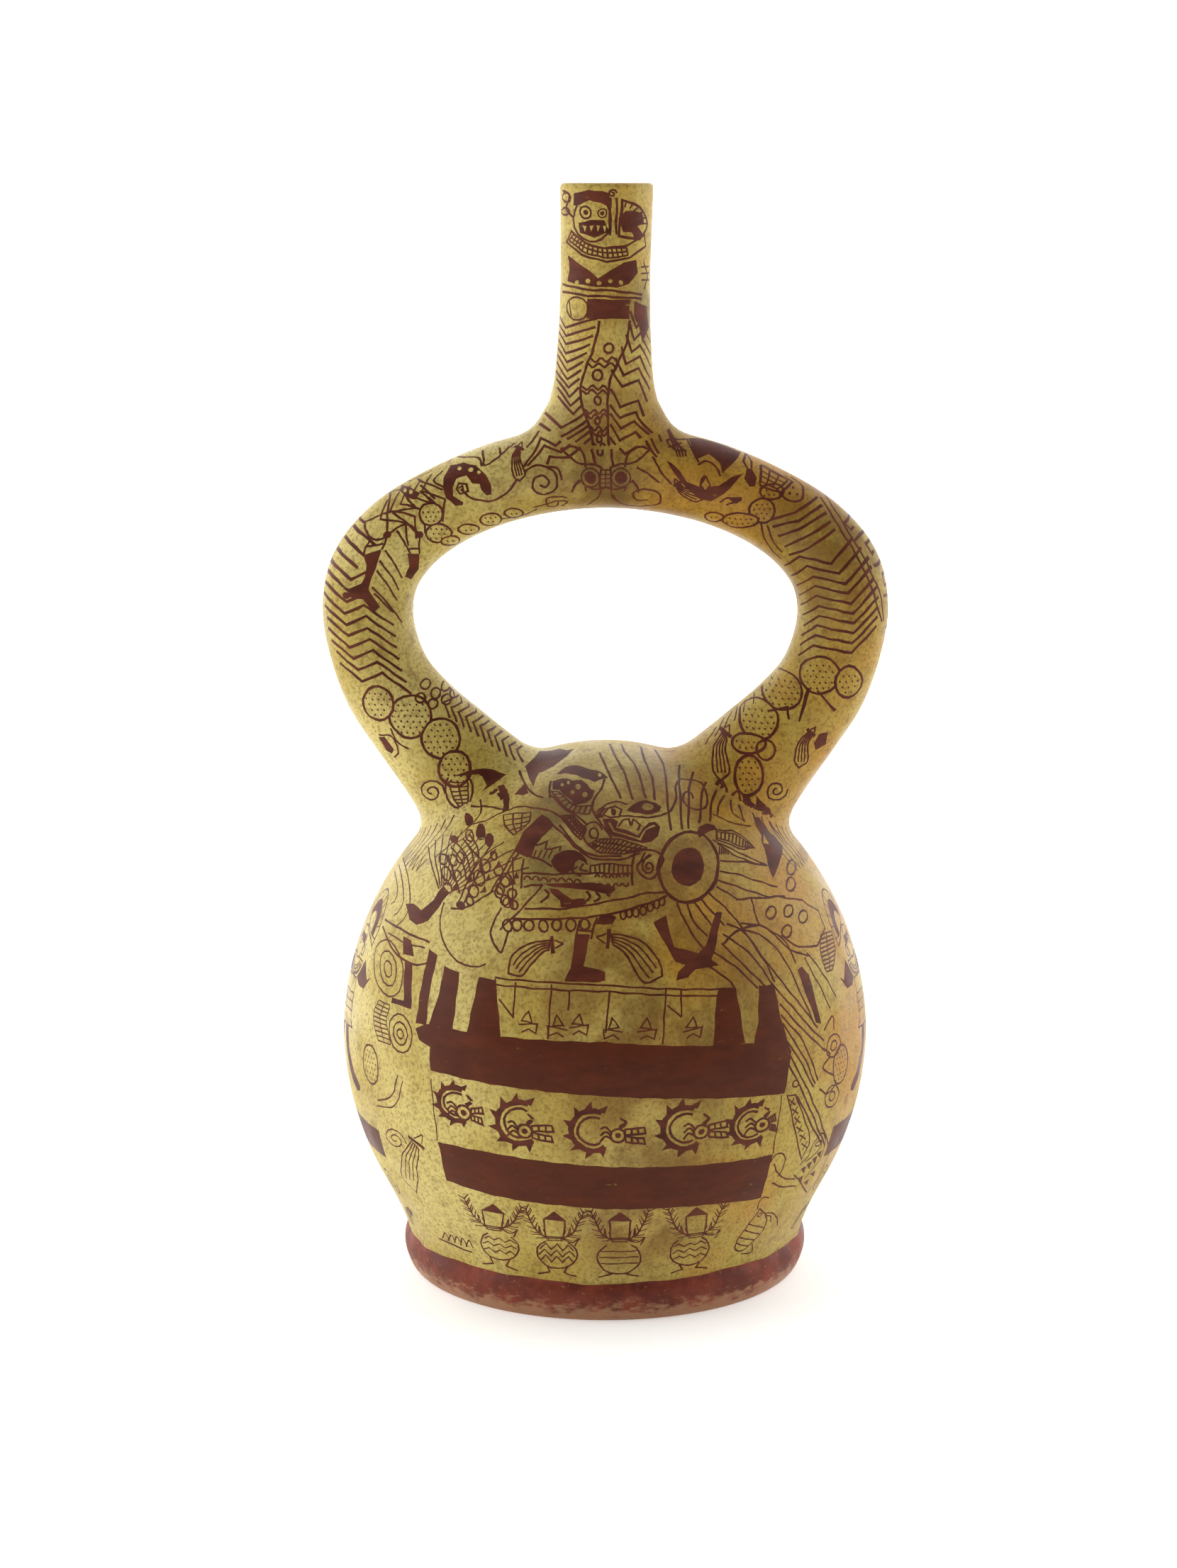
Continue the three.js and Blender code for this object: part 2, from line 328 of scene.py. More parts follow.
# The joins: each pair of forms is smoothed together with wet clay. A fillet swells both forms towards each
# other until they meet on one seam, where each stands a quarter of the fillet's size off its own surface.
SHOULDER_FILLET = 6.0
SPOUT_FILLET = 8.0
THROAT_FILLET = 1.0


def stand_off(form, points):
    """How far points stand off a form, and the way it faces there."""
    base, ahead, normal = form.place(form.spot(points))
    return ((points - base) * ahead).sum(axis=1), normal


def swelled(form, flat, joins):
    """Points and normals of places on a form's sheet, swelled into its fillets."""
    base, ahead, normal = form.place(flat)
    points = base.copy()
    for other, fillet in joins:
        close = np.flatnonzero((stand_off(other, base)[0] < fillet * 1.3) & (base[:, 2] > other.lowest))
        if not len(close):
            continue
        swell = np.zeros(len(close))
        for _ in range(36):
            reach, facing = stand_off(other, base[close] + swell[:, None] * ahead[close])
            target = (math.sqrt(fillet) - np.sqrt(np.clip(reach, fillet / 4, fillet))) ** 2
            swell = (swell + target) / 2
        points[close] = base[close] + swell[:, None] * ahead[close]
        lean = np.clip(1 - (reach - swell) / fillet, 0.0, 1.0)[:, None] / 2
        normal[close] = unit((1 - lean) * normal[close] + lean * facing)
    return points, normal


def seam(form, other, fillet, outside, inside):
    """Where two forms meet, along straight lines on the first form's sheet from outside to inside."""
    near, far = np.zeros(len(outside)), np.ones(len(outside))
    for _ in range(40):
        share = (near + far) / 2
        base, ahead, _ = form.place(outside + share[:, None] * (inside - outside))
        points = base + fillet / 4 * ahead
        met = stand_off(other, points)[0] < fillet / 4
        far = np.where(met, share, far)
        near = np.where(met, near, share)
    flat = outside + share[:, None] * (inside - outside)
    return flat, points, swelled(form, flat, [(other, fillet)])[1]


SLIP, PAINT, BAND, FOOT, CLAY = range(5)
MARGIN = 0.45


class Sheet:
    """One form's flat sheet, with a border, the holes where others join it, and the marks painted on it.

    A ring of the border or of a hole is its places on the sheet, their points and the way they face.
    """

    def __init__(self, form, joins, border, holes=()):
        self.form, self.joins, self.rings = form, joins, [border, *holes]
        self.marks, self.ground = [], SLIP
        signs = [-1.0] + [1.0] * len(holes)
        self.margins, self.limits, self.hems = [
            [grown(ring[0], sign * room * form.scale(ring[0])) for ring, sign in zip(self.rings, signs)]
            for room in (MARGIN, MARGIN / 3, 2 * MARGIN)
        ]

    def open(self, flat):
        """Whether places are free to paint on: inside the border, outside the holes, and clear of both."""
        return free_of(self.margins, flat)

    def clear(self, flat):
        """Whether places stand at least a little way off the edges."""
        return free_of(self.limits, flat)

    def cleared(self, flat):
        """The places again, with those that aren't free moved to the nearest edge of what is."""
        flat, shut = flat.copy(), ~self.open(flat)
        if shut.any():
            hems = np.vstack(self.hems)
            flat[shut] = hems[nearest(hems, flat[shut])]
        return flat

    def mark(self, outline, finish):
        """Paints inside an outline that runs counter-clockwise, unless its sides cross."""
        if len(outline) > 2 and counter_clockwise(outline) and not crosses_itself(outline):
            self.marks.append((outline, finish))

    def cut(self, seeds):
        """Cuts the sheet into triangles: points, facing, flat places, triangles, and their finishes.

        A triangle's owners are the outlines it lies in: 0 is the border, then the holes, then the marks.
        """
        seeds = seeds[within(self.rings[0][0], seeds)]
        for margin in self.margins[1:]:
            seeds = seeds[~within(margin, seeds)]
        outlines = [ring[0] for ring in self.rings] + [outline for outline, _ in self.marks]
        starts = np.cumsum([0] + [len(outline) for outline in outlines])
        faces = [list(range(a, b)) for a, b in zip(starts[:-1], starts[1:])]
        spots = [Vector(spot) for spot in np.vstack([*outlines, seeds]).tolist()]
        out = delaunay_2d_cdt(spots, [], faces, 1, 1e-5, True)
        flat = np.array([tuple(spot) for spot in out[0]])
        points, normals = swelled(self.form, flat, self.joins)
        exact = [np.vstack(column) for column in zip(*[ring[1:] for ring in self.rings])]
        edge_count = len(exact[0])
        for new, olds in enumerate(out[3]):
            old = min(olds, default=edge_count)
            if old < edge_count:
                points[new], normals[new] = exact[0][old], exact[1][old]
        triangles, finishes = [], []
        hole_count = len(self.rings) - 1
        for triangle, owners in zip(out[2], out[5]):
            if 0 not in owners or any(1 <= owner <= hole_count for owner in owners):
                continue
            top = max(owners)
            triangles.append(triangle)
            finishes.append(self.marks[top - hole_count - 1][1] if top > hole_count else self.ground)
        return points, normals, flat, np.array(triangles), np.array(finishes)


def grown(ring, by):
    """A closed ring moved outwards by so much at each of its points."""
    step = unit(np.roll(ring, -1, axis=0) - np.roll(ring, 1, axis=0))
    return ring + np.column_stack([step[:, 1], -step[:, 0]]) * (by[:, None] if np.ndim(by) else by)


def crosses_itself(ring):
    """Whether any two sides of a closed ring cross."""
    ends = np.roll(ring, -1, axis=0)
    sides = ends - ring

    def left_of(points):
        away = points[None, :, :] - ring[:, None, :]
        return sides[:, None, 0] * away[..., 1] - sides[:, None, 1] * away[..., 0]

    from_start, from_end = left_of(ring), left_of(ends)
    split = from_start * from_end < -1e-12
    return bool((split & split.T).any())


def free_of(edges, flat):
    """Whether places lie inside the first closed ring and outside the others."""
    free = within(edges[0], flat)
    for hole in edges[1:]:
        free &= ~within(hole, flat)
    return free


def counter_clockwise(ring):
    x, y = ring.T
    return (x * np.roll(y, -1) - y * np.roll(x, -1)).sum() > 0


def within(ring, points):
    """Whether points lie inside a closed ring."""
    ax, ay = ring.T
    bx, by = np.roll(ring, -1, axis=0).T
    slope = (bx - ax) / np.where(by == ay, 1.0, by - ay)
    answers = [
        (((ay > y) != (by > y)) & (x < ax + (y - ay) * slope)).sum(axis=1) % 2 == 1
        for x, y in [(part[:, :1], part[:, 1:]) for part in np.array_split(points, len(points) // 4000 + 1)]
    ]
    return np.concatenate(answers)


def ring_of(flat, points, normals):
    """A closed ring of a sheet, run the way that keeps its inside on the left."""
    order = slice(None) if counter_clockwise(flat) else slice(None, None, -1)
    return flat[order], points[order], normals[order]


def seam_pair(form, other, fillet, outside, inside):
    """A seam as it lies on both sheets: as flat places, points and normals on each."""
    flat, points, normals = seam(form, other, fillet, outside, inside)
    return (flat, points, normals), ring_of(other.spot(points[:-1]), points[:-1], normals[:-1])


SEAM_POINTS = 97
BASE_POINTS = 192
CLEAR_OF_LOOP = 25.0
EDGE_STEP = 2.4
INNER_EDGE_STEP = 6.0


def shape_sheets(chamber, stirrup, spout, fillets, top_z, step):
    """The three sheets of a skin, from the forms that make it up."""
    turns = np.linspace(-math.pi, math.pi, SEAM_POINTS)
    length = stirrup.along[-1]
    middle = stirrup.flat(np.full(SEAM_POINTS, length / 2), turns)
    ends, holes = [], []
    for end in (0.0, length):
        tip = stirrup.flat(np.full(SEAM_POINTS, end), turns)
        edge, hole = seam_pair(stirrup, chamber, fillets[0], middle, tip)
        ends.append(edge)
        holes.append(hole)
    above = spout.flat(turns, np.full(SEAM_POINTS, RIM_Z - CLEAR_OF_LOOP))
    below = spout.flat(turns, np.full(SEAM_POINTS, LOOP_TOP_Z))
    foot, spout_hole = seam_pair(spout, stirrup, fillets[1], above, below)

    base = chamber.flat(np.linspace(-math.pi, math.pi, BASE_POINTS, endpoint=False), np.zeros(BASE_POINTS))
    base_place = chamber.place(base)
    chamber_sheet = Sheet(chamber, [(stirrup, fillets[0])], (base, base_place[0], base_place[2]), holes)

    first, last = ends[0][0][0, 0], ends[1][0][0, 0]
    along = np.linspace(first, last, int((last - first) / step))[1:-1]
    sides = []
    for turn in (-math.pi, math.pi):
        flat = stirrup.flat(along, np.full(len(along), turn))
        sides.append((flat, *swelled(stirrup, flat, [(chamber, fillets[0])])))
    loop_border = [
        np.vstack([side_a, end_b, side_b[::-1], end_a[::-1]])
        for side_a, end_b, side_b, end_a in zip(sides[0], ends[1], sides[1], ends[0])
    ]
    loop_joins = [(chamber, fillets[0]), (spout, fillets[1])]
    loop_sheet = Sheet(stirrup, loop_joins, ring_of(*loop_border), [spout_hole])

    lip = spout.flat(turns, np.full(SEAM_POINTS, top_z))
    lip_place = spout.place(lip)
    edges = []
    for turn in (-math.pi, math.pi):
        low = foot[0][0, 1]
        height = np.linspace(low, top_z, int((top_z - low) / step))[1:-1]
        flat = spout.flat(np.full(len(height), turn), height)
        edges.append((flat, *swelled(spout, flat, [(stirrup, fillets[1])])))
    top = (lip, lip_place[0], lip_place[2])
    spout_border = [
        np.vstack([low, right, high[::-1], left[::-1]])
        for low, right, high, left in zip(foot, edges[1], top, edges[0])
    ]
    spout_sheet = Sheet(spout, [(stirrup, fillets[1])], ring_of(*spout_border))
    return chamber_sheet, loop_sheet, spout_sheet


outer = shape_sheets(chamber, stirrup, spout, (SHOULDER_FILLET, SPOUT_FILLET), RIM_Z - LIP_ROUND, EDGE_STEP)
inner = shape_sheets(
    hollow, bore, throat, (THROAT_FILLET, THROAT_FILLET), RIM_Z - 2 * LIP_ROUND, INNER_EDGE_STEP,
)

# The brush: the painting is laid on the dry slip with one fine hair brush and a broad one for the bands.
# Each mark is given in millimetres across and up, as seen square on, and is cut into its sheet as faces.
LINE = 0.44
LONGEST_STROKE = 2.4
HAND = 0.1
SHARPEST = -0.6


def by_hand(places):
    """The places again, with the small waver of a hand."""
    x, z = places.T
    across = np.sin(0.9 * z + 0.5 * x) + 0.5 * np.sin(2.3 * z - 1.4 * x)
    upwards = np.sin(0.8 * x - 0.6 * z + 1.0) + 0.5 * np.sin(1.9 * x + 1.7 * z)
    return places + HAND * np.column_stack([across, upwards])


def spaced(points, longest=LONGEST_STROKE):
    """A line's points with more between them wherever they lie far apart."""
    steps = np.ceil(np.hypot(*np.diff(points, axis=0).T) / longest).astype(int).clip(1)
    pieces = [
        a + (b - a) * np.arange(count)[:, None] / count for a, b, count in zip(points[:-1], points[1:], steps)
    ]
    return np.vstack([*pieces, points[-1:]])


class Ground:
    """A stretch of a sheet to paint on, which can be moved, turned, sized and flipped for each motif."""

    def __init__(self, sheet, to_flat, fit=np.eye(2), origin=(0.0, 0.0)):
        self.sheet, self.to_flat, self.fit, self.origin = sheet, to_flat, fit, np.array(origin)

    def moved(self, x, z, turn=0.0, size=1.0, flip=1.0):
        c, s = math.cos(math.radians(turn)), math.sin(math.radians(turn))
        fit = self.fit @ (size * np.array([[flip * c, -s], [flip * s, c]]))
        return Ground(self.sheet, self.to_flat, fit, self.fit @ np.array([x, z]) + self.origin)

    def laid(self, places):
        """Places on the flat sheet, and whether each can be seen from here and is free to paint on."""
        flat, seen = self.to_flat(places)
        return flat, seen & self.sheet.open(flat)

    def spread(self, points):
        return spaced(np.asarray(points, float) @ self.fit.T + self.origin)

    def line(self, points, width=LINE, finish=PAINT, closed=False):
        """A brush stroke through points. A pair of widths thins it from its first end to its last."""
        places = by_hand(self.spread([*points, points[0]] if closed else points))
        flat, free = self.laid(places)
        ends = np.flatnonzero(free[1:] != free[:-1])
        if len(ends):
            flat, free = self.reaching(places, flat, free, ends)
        half = np.linspace(*((width, width) if np.isscalar(width) else width), len(flat)) / 2
        half *= self.sheet.form.scale(flat) * (1.0 + 0.14 * np.sin(np.arange(len(flat)) * 1.7 + places[0, 0]))
        runs = np.split(np.arange(len(flat)), np.flatnonzero(free[1:] != free[:-1]) + 1)
        for run in runs:
            if free[run[0]] and len(run) > 1:
                self.stroke(flat[run], half[run], finish, closed and len(run) == len(flat))

    def reaching(self, places, flat, free, ends):
        """The line's flat places with one more wherever it meets an edge, so that it reaches that edge."""
        near = np.where(free[ends, None], places[ends], places[ends + 1])
        far = np.where(free[ends, None], places[ends + 1], places[ends])
        for _ in range(7):
            middle = (near + far) / 2
            clear = self.laid(middle)[1][:, None]
            near, far = np.where(clear, middle, near), np.where(clear, far, middle)
        return np.insert(flat, ends + 1, self.laid(near)[0], axis=0), np.insert(free, ends + 1, True)

    def stroke(self, flat, half, finish, closed):
        keep = np.concatenate([[True], np.hypot(*np.diff(flat, axis=0).T) > 1e-4])
        flat, half = flat[keep], half[keep]
        if len(flat) < 2:
            return
        ahead = unit(np.diff(flat, axis=0))
        sharp = np.flatnonzero((ahead[1:] * ahead[:-1]).sum(axis=1) < SHARPEST) + 1
        if len(sharp):
            for a, b in zip([0, *sharp], [*sharp, len(flat) - 1]):
                self.stroke(flat[a : b + 1], half[a : b + 1], finish, False)
            return
        side = np.column_stack([-ahead[:, 1], ahead[:, 0]])
        before, after = np.vstack([side[:1], side]), np.vstack([side, side[-1:]])
        if closed:
            before[0], after[-1] = side[-1], side[0]
        mitre = (before + after) / np.maximum(1.0 + (before * after).sum(axis=1), 1.0 + SHARPEST)[:, None]
        left, right = flat + mitre * half[:, None], flat - mitre * half[:, None]
        if closed:
            left[-1], right[-1] = left[0], right[0]
        safe = self.sheet.clear(left) & self.sheet.clear(right)
        for i in np.flatnonzero(safe[1:] & safe[:-1]):
            self.sheet.mark(np.array([right[i], right[i + 1], left[i + 1], left[i]]), finish)

    def fill(self, outline, finish=PAINT):
        """A patch of colour inside an outline, kept clear of the sheet's edges."""
        flat = self.sheet.cleared(self.to_flat(by_hand(self.spread([*outline, outline[0]])))[0][:-1])
        flat = flat[np.hypot(*(flat - np.roll(flat, 1, axis=0)).T) > 1e-4]
        self.sheet.mark(flat if counter_clockwise(flat) else flat[::-1], finish)

    def both(self, outline, width=LINE, finish=SLIP):
        """A filled shape with a line round it."""
        self.fill(outline, finish)
        self.line(outline, width, closed=True)


def bow(x, z, radius, start=0.0, end=360.0, squash=1.0):
    """Points on a circle or part of one, in degrees from the right, with its height squashed."""
    count = max(3, math.ceil(abs(end - start) / 360 * (6 + 2.4 * radius)))
    turn = np.radians(np.linspace(start, end, count + 1))
    return np.column_stack([x + radius * np.cos(turn), z + radius * squash * np.sin(turn)])


def round_spot(x, z, radius, squash=1.0):
    return bow(x, z, radius, squash=squash)[:-1]


def curve(*points, steps=5):
    return smooth_line(points, steps)


def coil(x, z, radius, turns=1.6, start=0.0, way=1.0):
    """A spiral that winds in to its middle."""
    share = np.linspace(0.0, 1.0, int(turns * (8 + radius)))
    turn = math.radians(start) + way * share * turns * 2 * math.pi
    reach = radius * (1.0 - 0.88 * share)
    return np.column_stack([x + reach * np.cos(turn), z + reach * np.sin(turn)])


def between(first, second, share):
    """A line some way between two lines that are given by the same number of points."""
    return np.asarray(first) * (1 - share) + np.asarray(second) * share


def on_wall(azimuth):
    """Ground on the chamber, seen square on from a direction, with the true height."""
    def to_flat(places):
        radius = np.interp(places[:, 1], chamber.line[:, 1], chamber.line[:, 0])
        along = np.interp(places[:, 1], chamber.line[:, 1], chamber.along)
        share = places[:, 0] / radius
        return chamber.flat(azimuth + np.arcsin(np.clip(share, -0.99, 0.99)), along), np.abs(share) < 0.99
    return Ground(outer[0], to_flat)


def round_wall(azimuth):
    """Ground on the chamber, measured round its widest girth from a direction, and up it."""
    def to_flat(places):
        along = np.interp(places[:, 1], chamber.line[:, 1], chamber.along)
        return chamber.flat(azimuth + places[:, 0] / BELLY_RADIUS, along), True
    return Ground(outer[0], to_flat)


def on_loop(side):
    """Ground on the front (1) or the back (-1) of the stirrup, seen square on."""
    def to_flat(places):
        i = nearest(stirrup.line[:, :2], places)
        off = ((places - stirrup.line[i, :2]) * stirrup.outward[i]).sum(axis=1)
        ahead = ((places - stirrup.line[i, :2]) * stirrup.tangent[i]).sum(axis=1)
        share = off / stirrup.line[i, 2]
        turn = side * np.arccos(np.clip(share, -0.985, 0.985))
        return stirrup.flat(stirrup.along[i] + ahead, turn), np.abs(share) < 0.985
    return Ground(outer[1], to_flat)


def on_spout(places):
    """Places on the spout, seen square on from the front."""
    x, height = places.T
    share = (x - spout.axis(height)) / np.interp(height, spout.heights, spout.across)
    return spout.flat(np.arcsin(np.clip(share, -0.98, 0.98)), height), np.abs(share) < 0.98


front = on_wall(-math.pi / 2)
loop_front, loop_back = on_loop(1.0), on_loop(-1.0)
spout_front = Ground(outer[2], on_spout)
round_loop, round_spout = [Ground(sheet, lambda places: (places, True)) for sheet in outer[1:]]


# The motifs: the painter's stock of small things, each drawn the same way wherever it comes back.
def ringed_eye(g, x, z, radius, pupil=0.36, ring=0.74):
    g.fill(round_spot(x, z, radius))
    g.fill(round_spot(x, z, radius * ring), SLIP)
    g.fill(round_spot(x, z, radius * pupil))


def small_ring(g, x, z, radius, width=LINE):
    g.line(round_spot(x, z, radius), width, closed=True)


def dotted_ball(g, x, z, across, high, width=0.6, gap=1.5):
    """A round netted ball, marked all over with short dabs of the brush."""
    squash = high / across
    g.line(round_spot(x, z, across, squash), width, closed=True)
    rows = int(2 * high / gap)
    for row in range(1, rows):
        up = -high + row * gap
        reach = across * math.sqrt(max(0, 1 - (up / high) ** 2)) - 0.7
        for column in range(-9, 10):
            over = (column + row % 2 / 2) * gap * 1.1
            if abs(over) < reach:
                g.line([(x + over - 0.18, z + up + 0.24), (x + over + 0.18, z + up - 0.24)], 0.42)


def gourd(g, x, z, length=11, turn=0, flip=1, width=LINE, plump=1):
    """A ribbed gourd that hangs from its capped neck."""
    g = g.moved(x, z, turn, length / 11, flip)
    top = [(0, 0.9), (-4, 0.9), (-7.6, -0.4 * plump), (-10.2, -2.8 * plump), (-10.9, -5.4)]
    low = [(0, -0.9), (-2.6, -1.8), (-5.4, -4.2 * plump), (-7.9, -6.2 * plump), (-10.9, -5.4)]
    outline = np.vstack([curve(*top), curve(*low)[-2:0:-1]])
    g.both(outline, width * 1.15)
    for share in (0.26, 0.5, 0.74):
        g.line(curve(*between(top, low, share)[:-1]), width)
    g.line([(0.5, 1.9), (0.5, -1.9)], 1)
    g.line([(1, 0.9), (3, 0), (1, -0.9)], width)


def branch(g, points, twigs=7, reach=1.9, width=0.4):
    """A feathery stem, with twigs up both sides that point to its tip."""
    stem = curve(*points)
    g.line(stem, (width * 1.5, width * 0.8))
    for place in np.linspace(0.12, 0.96, twigs):
        i = min(int(place * (len(stem) - 1)), len(stem) - 2)
        ahead = unit(stem[i + 1] - stem[i])
        side = np.array([-ahead[1], ahead[0]])
        for way in (-1, 1):
            tip = stem[i] + reach * (1.15 - 0.4 * place) * (0.8 * ahead + 0.75 * way * side)
            g.line([stem[i], tip], (width, width * 0.7))


def crested_head(g, x, z, radius, eye, jaw, teeth=8, turn=0):
    """A spiked crest curled round a ringed eye, with a jaw of square teeth in front."""
    start, end = 66 + turn, 306 + turn
    g.line(bow(x, z, radius, start, end), 1.5)
    g.line(bow(x, z, radius * 0.7, start - 6, end - 4), 0.7)
    for tooth in np.linspace(start + 4, end - 8, teeth):
        sides = [bow(x, z, radius * 1.02, tooth + way, tooth + way + 1)[0] for way in (-13, 13)]
        g.fill([*sides, bow(x, z, radius * 1.46, tooth - 9, tooth)[0]])
    g.fill(round_spot(*eye, 2.3))
    g.fill(round_spot(*eye, 1.65), SLIP)
    g.fill(round_spot(*eye, 0.85))
    for lash in (-1.6, 0.2, 2):
        g.line(curve((eye[0] - 1.8, eye[1] + lash * 0.5), (eye[0] - 3.2, eye[1] + 1 + lash * 0.7),
                     (eye[0] - 4.6, eye[1] - 0.2 + lash)), 0.62)
    brow = [(eye[0] + 0.6, eye[1] + 2.1), (eye[0] + 2, eye[1] + 3.6), (eye[0] + 0.6, eye[1] + 5)]
    g.line(curve(*brow), (1.3, 0.5))
    for upper, tip in ((0.8, 1.3), (-1.1, -1.8)):
        jaws = [(eye[0] + 2, eye[1] + upper + 0.8), (jaw, eye[1] + tip + 0.9),
                (jaw + 0.4, eye[1] + tip - 0.8), (eye[0] + 2, eye[1] + upper - 0.7)]
        g.line(jaws, 0.6, closed=True)
        for share in (0.33, 0.66):
            g.line([between(jaws[0], jaws[1], share), between(jaws[3], jaws[2], share)], 0.6)


def jar(g, x, base, neck, top, belly, pattern):
    """A lidded jar on splayed feet, tied at the neck, with feathery branches stuck in on both sides."""
    over, up, width = belly
    g.line(bow(over, up, width, -235, 55, 0.9), 0.5)
    for way in (-1, 1):
        g.line([(over + way * width * 0.5, up - width * 0.78), (over + way * width * 0.35, base + 0.9),
                (over + way * width * 0.95, base)], 0.5)
        branch(g, [(x + way * 1.6, neck - 0.8), (x + way * 4.6, neck + 1.4), (x + way * 6.6, top + 0.2),
                   (x + way * 7.8, top + 3.4)], twigs=9, reach=2.3, width=0.42)
    half = 2.8
    g.line([(x - half, top), (x - half * 0.85, neck), (x + half * 0.85, neck), (x + half, top)], 0.5)
    patches(g, [x - half * 1.2, top, x + half * 1.2, top, x + 0.9, top + 2.2, x, top + 2.9,
        x - 0.9, top + 2.2])
    for tie in (-0.5, -1.2):
        g.line([(x - half * 0.8, neck + tie), (x + half * 0.8, neck + tie)], 0.42)
    strokes(g, 0.45, [x + 2, neck - 0.6, x + 5, neck - 1.4, x + 6.6, neck + 0.2, x + 5.4, neck - 2.6])
    rise = {"level": 0, "waves": 0.5, "zigzag": 1}[pattern]
    for row in range(3):
        line = up + 2.2 - row * 2
        reach = width * math.sqrt(max(0.1, 1 - ((line - up) / width) ** 2)) * 0.9
        steps = np.linspace(-reach, reach, 7)
        g.line([(over + step, line + rise * (1 if i % 2 else -1)) for i, step in enumerate(steps)], 0.42)


def shares_of(line, count):
    """The line again as so many points at even shares of it."""
    line, share = np.asarray(line, float), np.linspace(0, 1, count)
    return np.column_stack([np.interp(share, np.linspace(0, 1, len(line)), column) for column in line.T])


def net(g, first, second, rows, columns, width=0.38):
    """Cross lines between two lines."""
    first, second = shares_of(first, columns + 1), shares_of(second, columns + 1)
    for share in np.linspace(0, 1, rows + 1):
        g.line(between(first, second, share), width)
    for pair in zip(first, second):
        g.line(pair, width)


def strokes(g, width, *lines):
    """Smooth strokes of one width, each given as across, up, across, up and so on."""
    for line in lines:
        g.line(smooth_line(np.reshape(line, (-1, 2)), 5), width)


def rules(g, width, *lines):
    """Strokes of one width that run straight from place to place."""
    for line in lines:
        g.line(np.reshape(line, (-1, 2)), width)


def patches(g, *outlines, finish=PAINT):
    """Patches of colour, each given as across, up, across, up and so on."""
    for outline in outlines:
        g.fill(np.reshape(outline, (-1, 2)), finish)


def half_fan(g, x, z, radius, start, end, rays=9, inner=0.42):
    """A fan headdress: a dark half disc with a light edge and rays."""
    g.both(np.vstack([bow(x, z, radius, start, end), [(x, z)]]), 0.5)
    dark = [bow(x, z, radius * 0.74, start + 6, end - 6), bow(x, z, radius * inner, end - 8, start + 8)]
    g.fill(np.vstack(dark))
    for ray in np.linspace(start + 10, end - 10, rays):
        g.line([bow(x, z, radius * 0.76, ray, ray + 1)[0], bow(x, z, radius * 0.97, ray, ray + 1)[0]], 0.4)


def striding_figure(g, x, z, size=1, flip=1):
    """A figure that strides to the right, with a fan headdress, a netted collar, a kilt and a club."""
    g = g.moved(x, z, 0, size, flip)
    patches(g, [1, 17, -3, 17, -4.6, 9.4, -8.6, 4, -12.2, 1.6, -12, 0.2, -9.4, -0.6, -5.6, 1.4, -1.4, 7.6,
        -0.2, 12], [1.6, 17, 5.8, 17, 9, 8.5, 8.8, 1.4, 12.5, 0.6, 13, -1, 6.6, -1.2, 6.2, 7.6, 3.4, 11])
    g.both([(-5.5, 16), (-7.5, 14.8), (7.8, 13.6), (9.5, 15.5), (6.4, 26), (-4.4, 26.6)], 0.5)
    net(g, [(-5.6, 18.6), (7.2, 17.8)], [(-5, 22.8), (6.6, 22.2)], 2, 8)
    for over in np.linspace(-6.4, 7.6, 9):
        g.line([(over, 14.9), (over + 0.1, 16.6)], 0.4)
    g.fill([(-7.4, 25.6), (-4.6, 27), (-8.4, 32), (-13, 28), (-15.4, 29), (-12, 25.6)])
    g.fill([(6.2, 25.6), (11, 27.8), (14, 33.4), (12, 34), (9, 29.8), (4.6, 28.6)])
    g.line([(12.8, 25), (14.2, 42)], (0.5, 0.7))
    g.both([(12.6, 38), (16, 38), (17, 46), (14.6, 49), (12, 46)], 0.5)
    g.both(np.vstack([bow(1, 31, 7, 180, 360, 0.62)]), 0.5)
    net(g, bow(1, 31, 6.6, 195, 345, 0.62), bow(1, 31, 4, 195, 345, 0.62), 2, 12)
    g.both(round_spot(1.4, 34.6, 4.2, 0.95), 0.5)
    g.fill([(-2, 36.4), (4.6, 36.6), (5, 34.9), (-2.3, 34.4)])
    ringed_eye(g, 3, 34.6, 1.2)
    half_fan(g, -1, 38.6, 9, 20, 200)
    small_ring(g, -3.4, 33.2, 1.3, 0.5)


# The foot ring is dipped in red slip, which ends in a wavering edge where the wall turns up from it.
FOOT_SLIP_TOP = 10.9
foot_turns = np.linspace(0, 2 * math.pi, 120, endpoint=False)
foot_edge = np.full(len(foot_turns), FOOT_SLIP_TOP)
for sway, waves, start in ((0.3, 5, 0), (0.2, 13, 1), (0.12, 31, 0)):
    foot_edge += sway * np.sin(waves * foot_turns + start)
outer[0].ground = FOOT
outer[0].mark(chamber.flat(foot_turns, np.interp(foot_edge, chamber.line[:, 1], chamber.along)), SLIP)

# The front of the chamber: a temple platform in two broad bands with posts, a frieze of crested heads
# between them, a row of lidded jars below, and above it a litter with striding warriors and a rayed disc.
BAND_LOW = [
    (-42.5, 38.7), (-30, 36.9), (-20, 36.2), (-10, 35.8), (0, 35.1), (20, 34.7), (30, 34.2), (41.5, 33),
]
BAND_LOW_TOP = [(-44.5, 50.3), (-30, 50), (-20, 49.3), (-10, 48.7), (0, 48.1), (20, 47.3), (44.3, 46.4)]
BAND_HIGH = [(-46.3, 70.2), (-30, 69.2), (-20, 68.8), (0, 67.8), (20, 66.4), (34, 65), (47.3, 63.6)]
BAND_HIGH_TOP = [
    (-46.5, 76.3), (-49.5, 77.4), (-50.4, 80), (-47, 82), (0, 81.9), (27, 79.6), (47.6, 78), (49, 74.5),
]
front.fill([*BAND_LOW, *BAND_LOW_TOP[::-1]], BAND)
front.fill([*BAND_HIGH, *BAND_HIGH_TOP[::-1]], BAND)
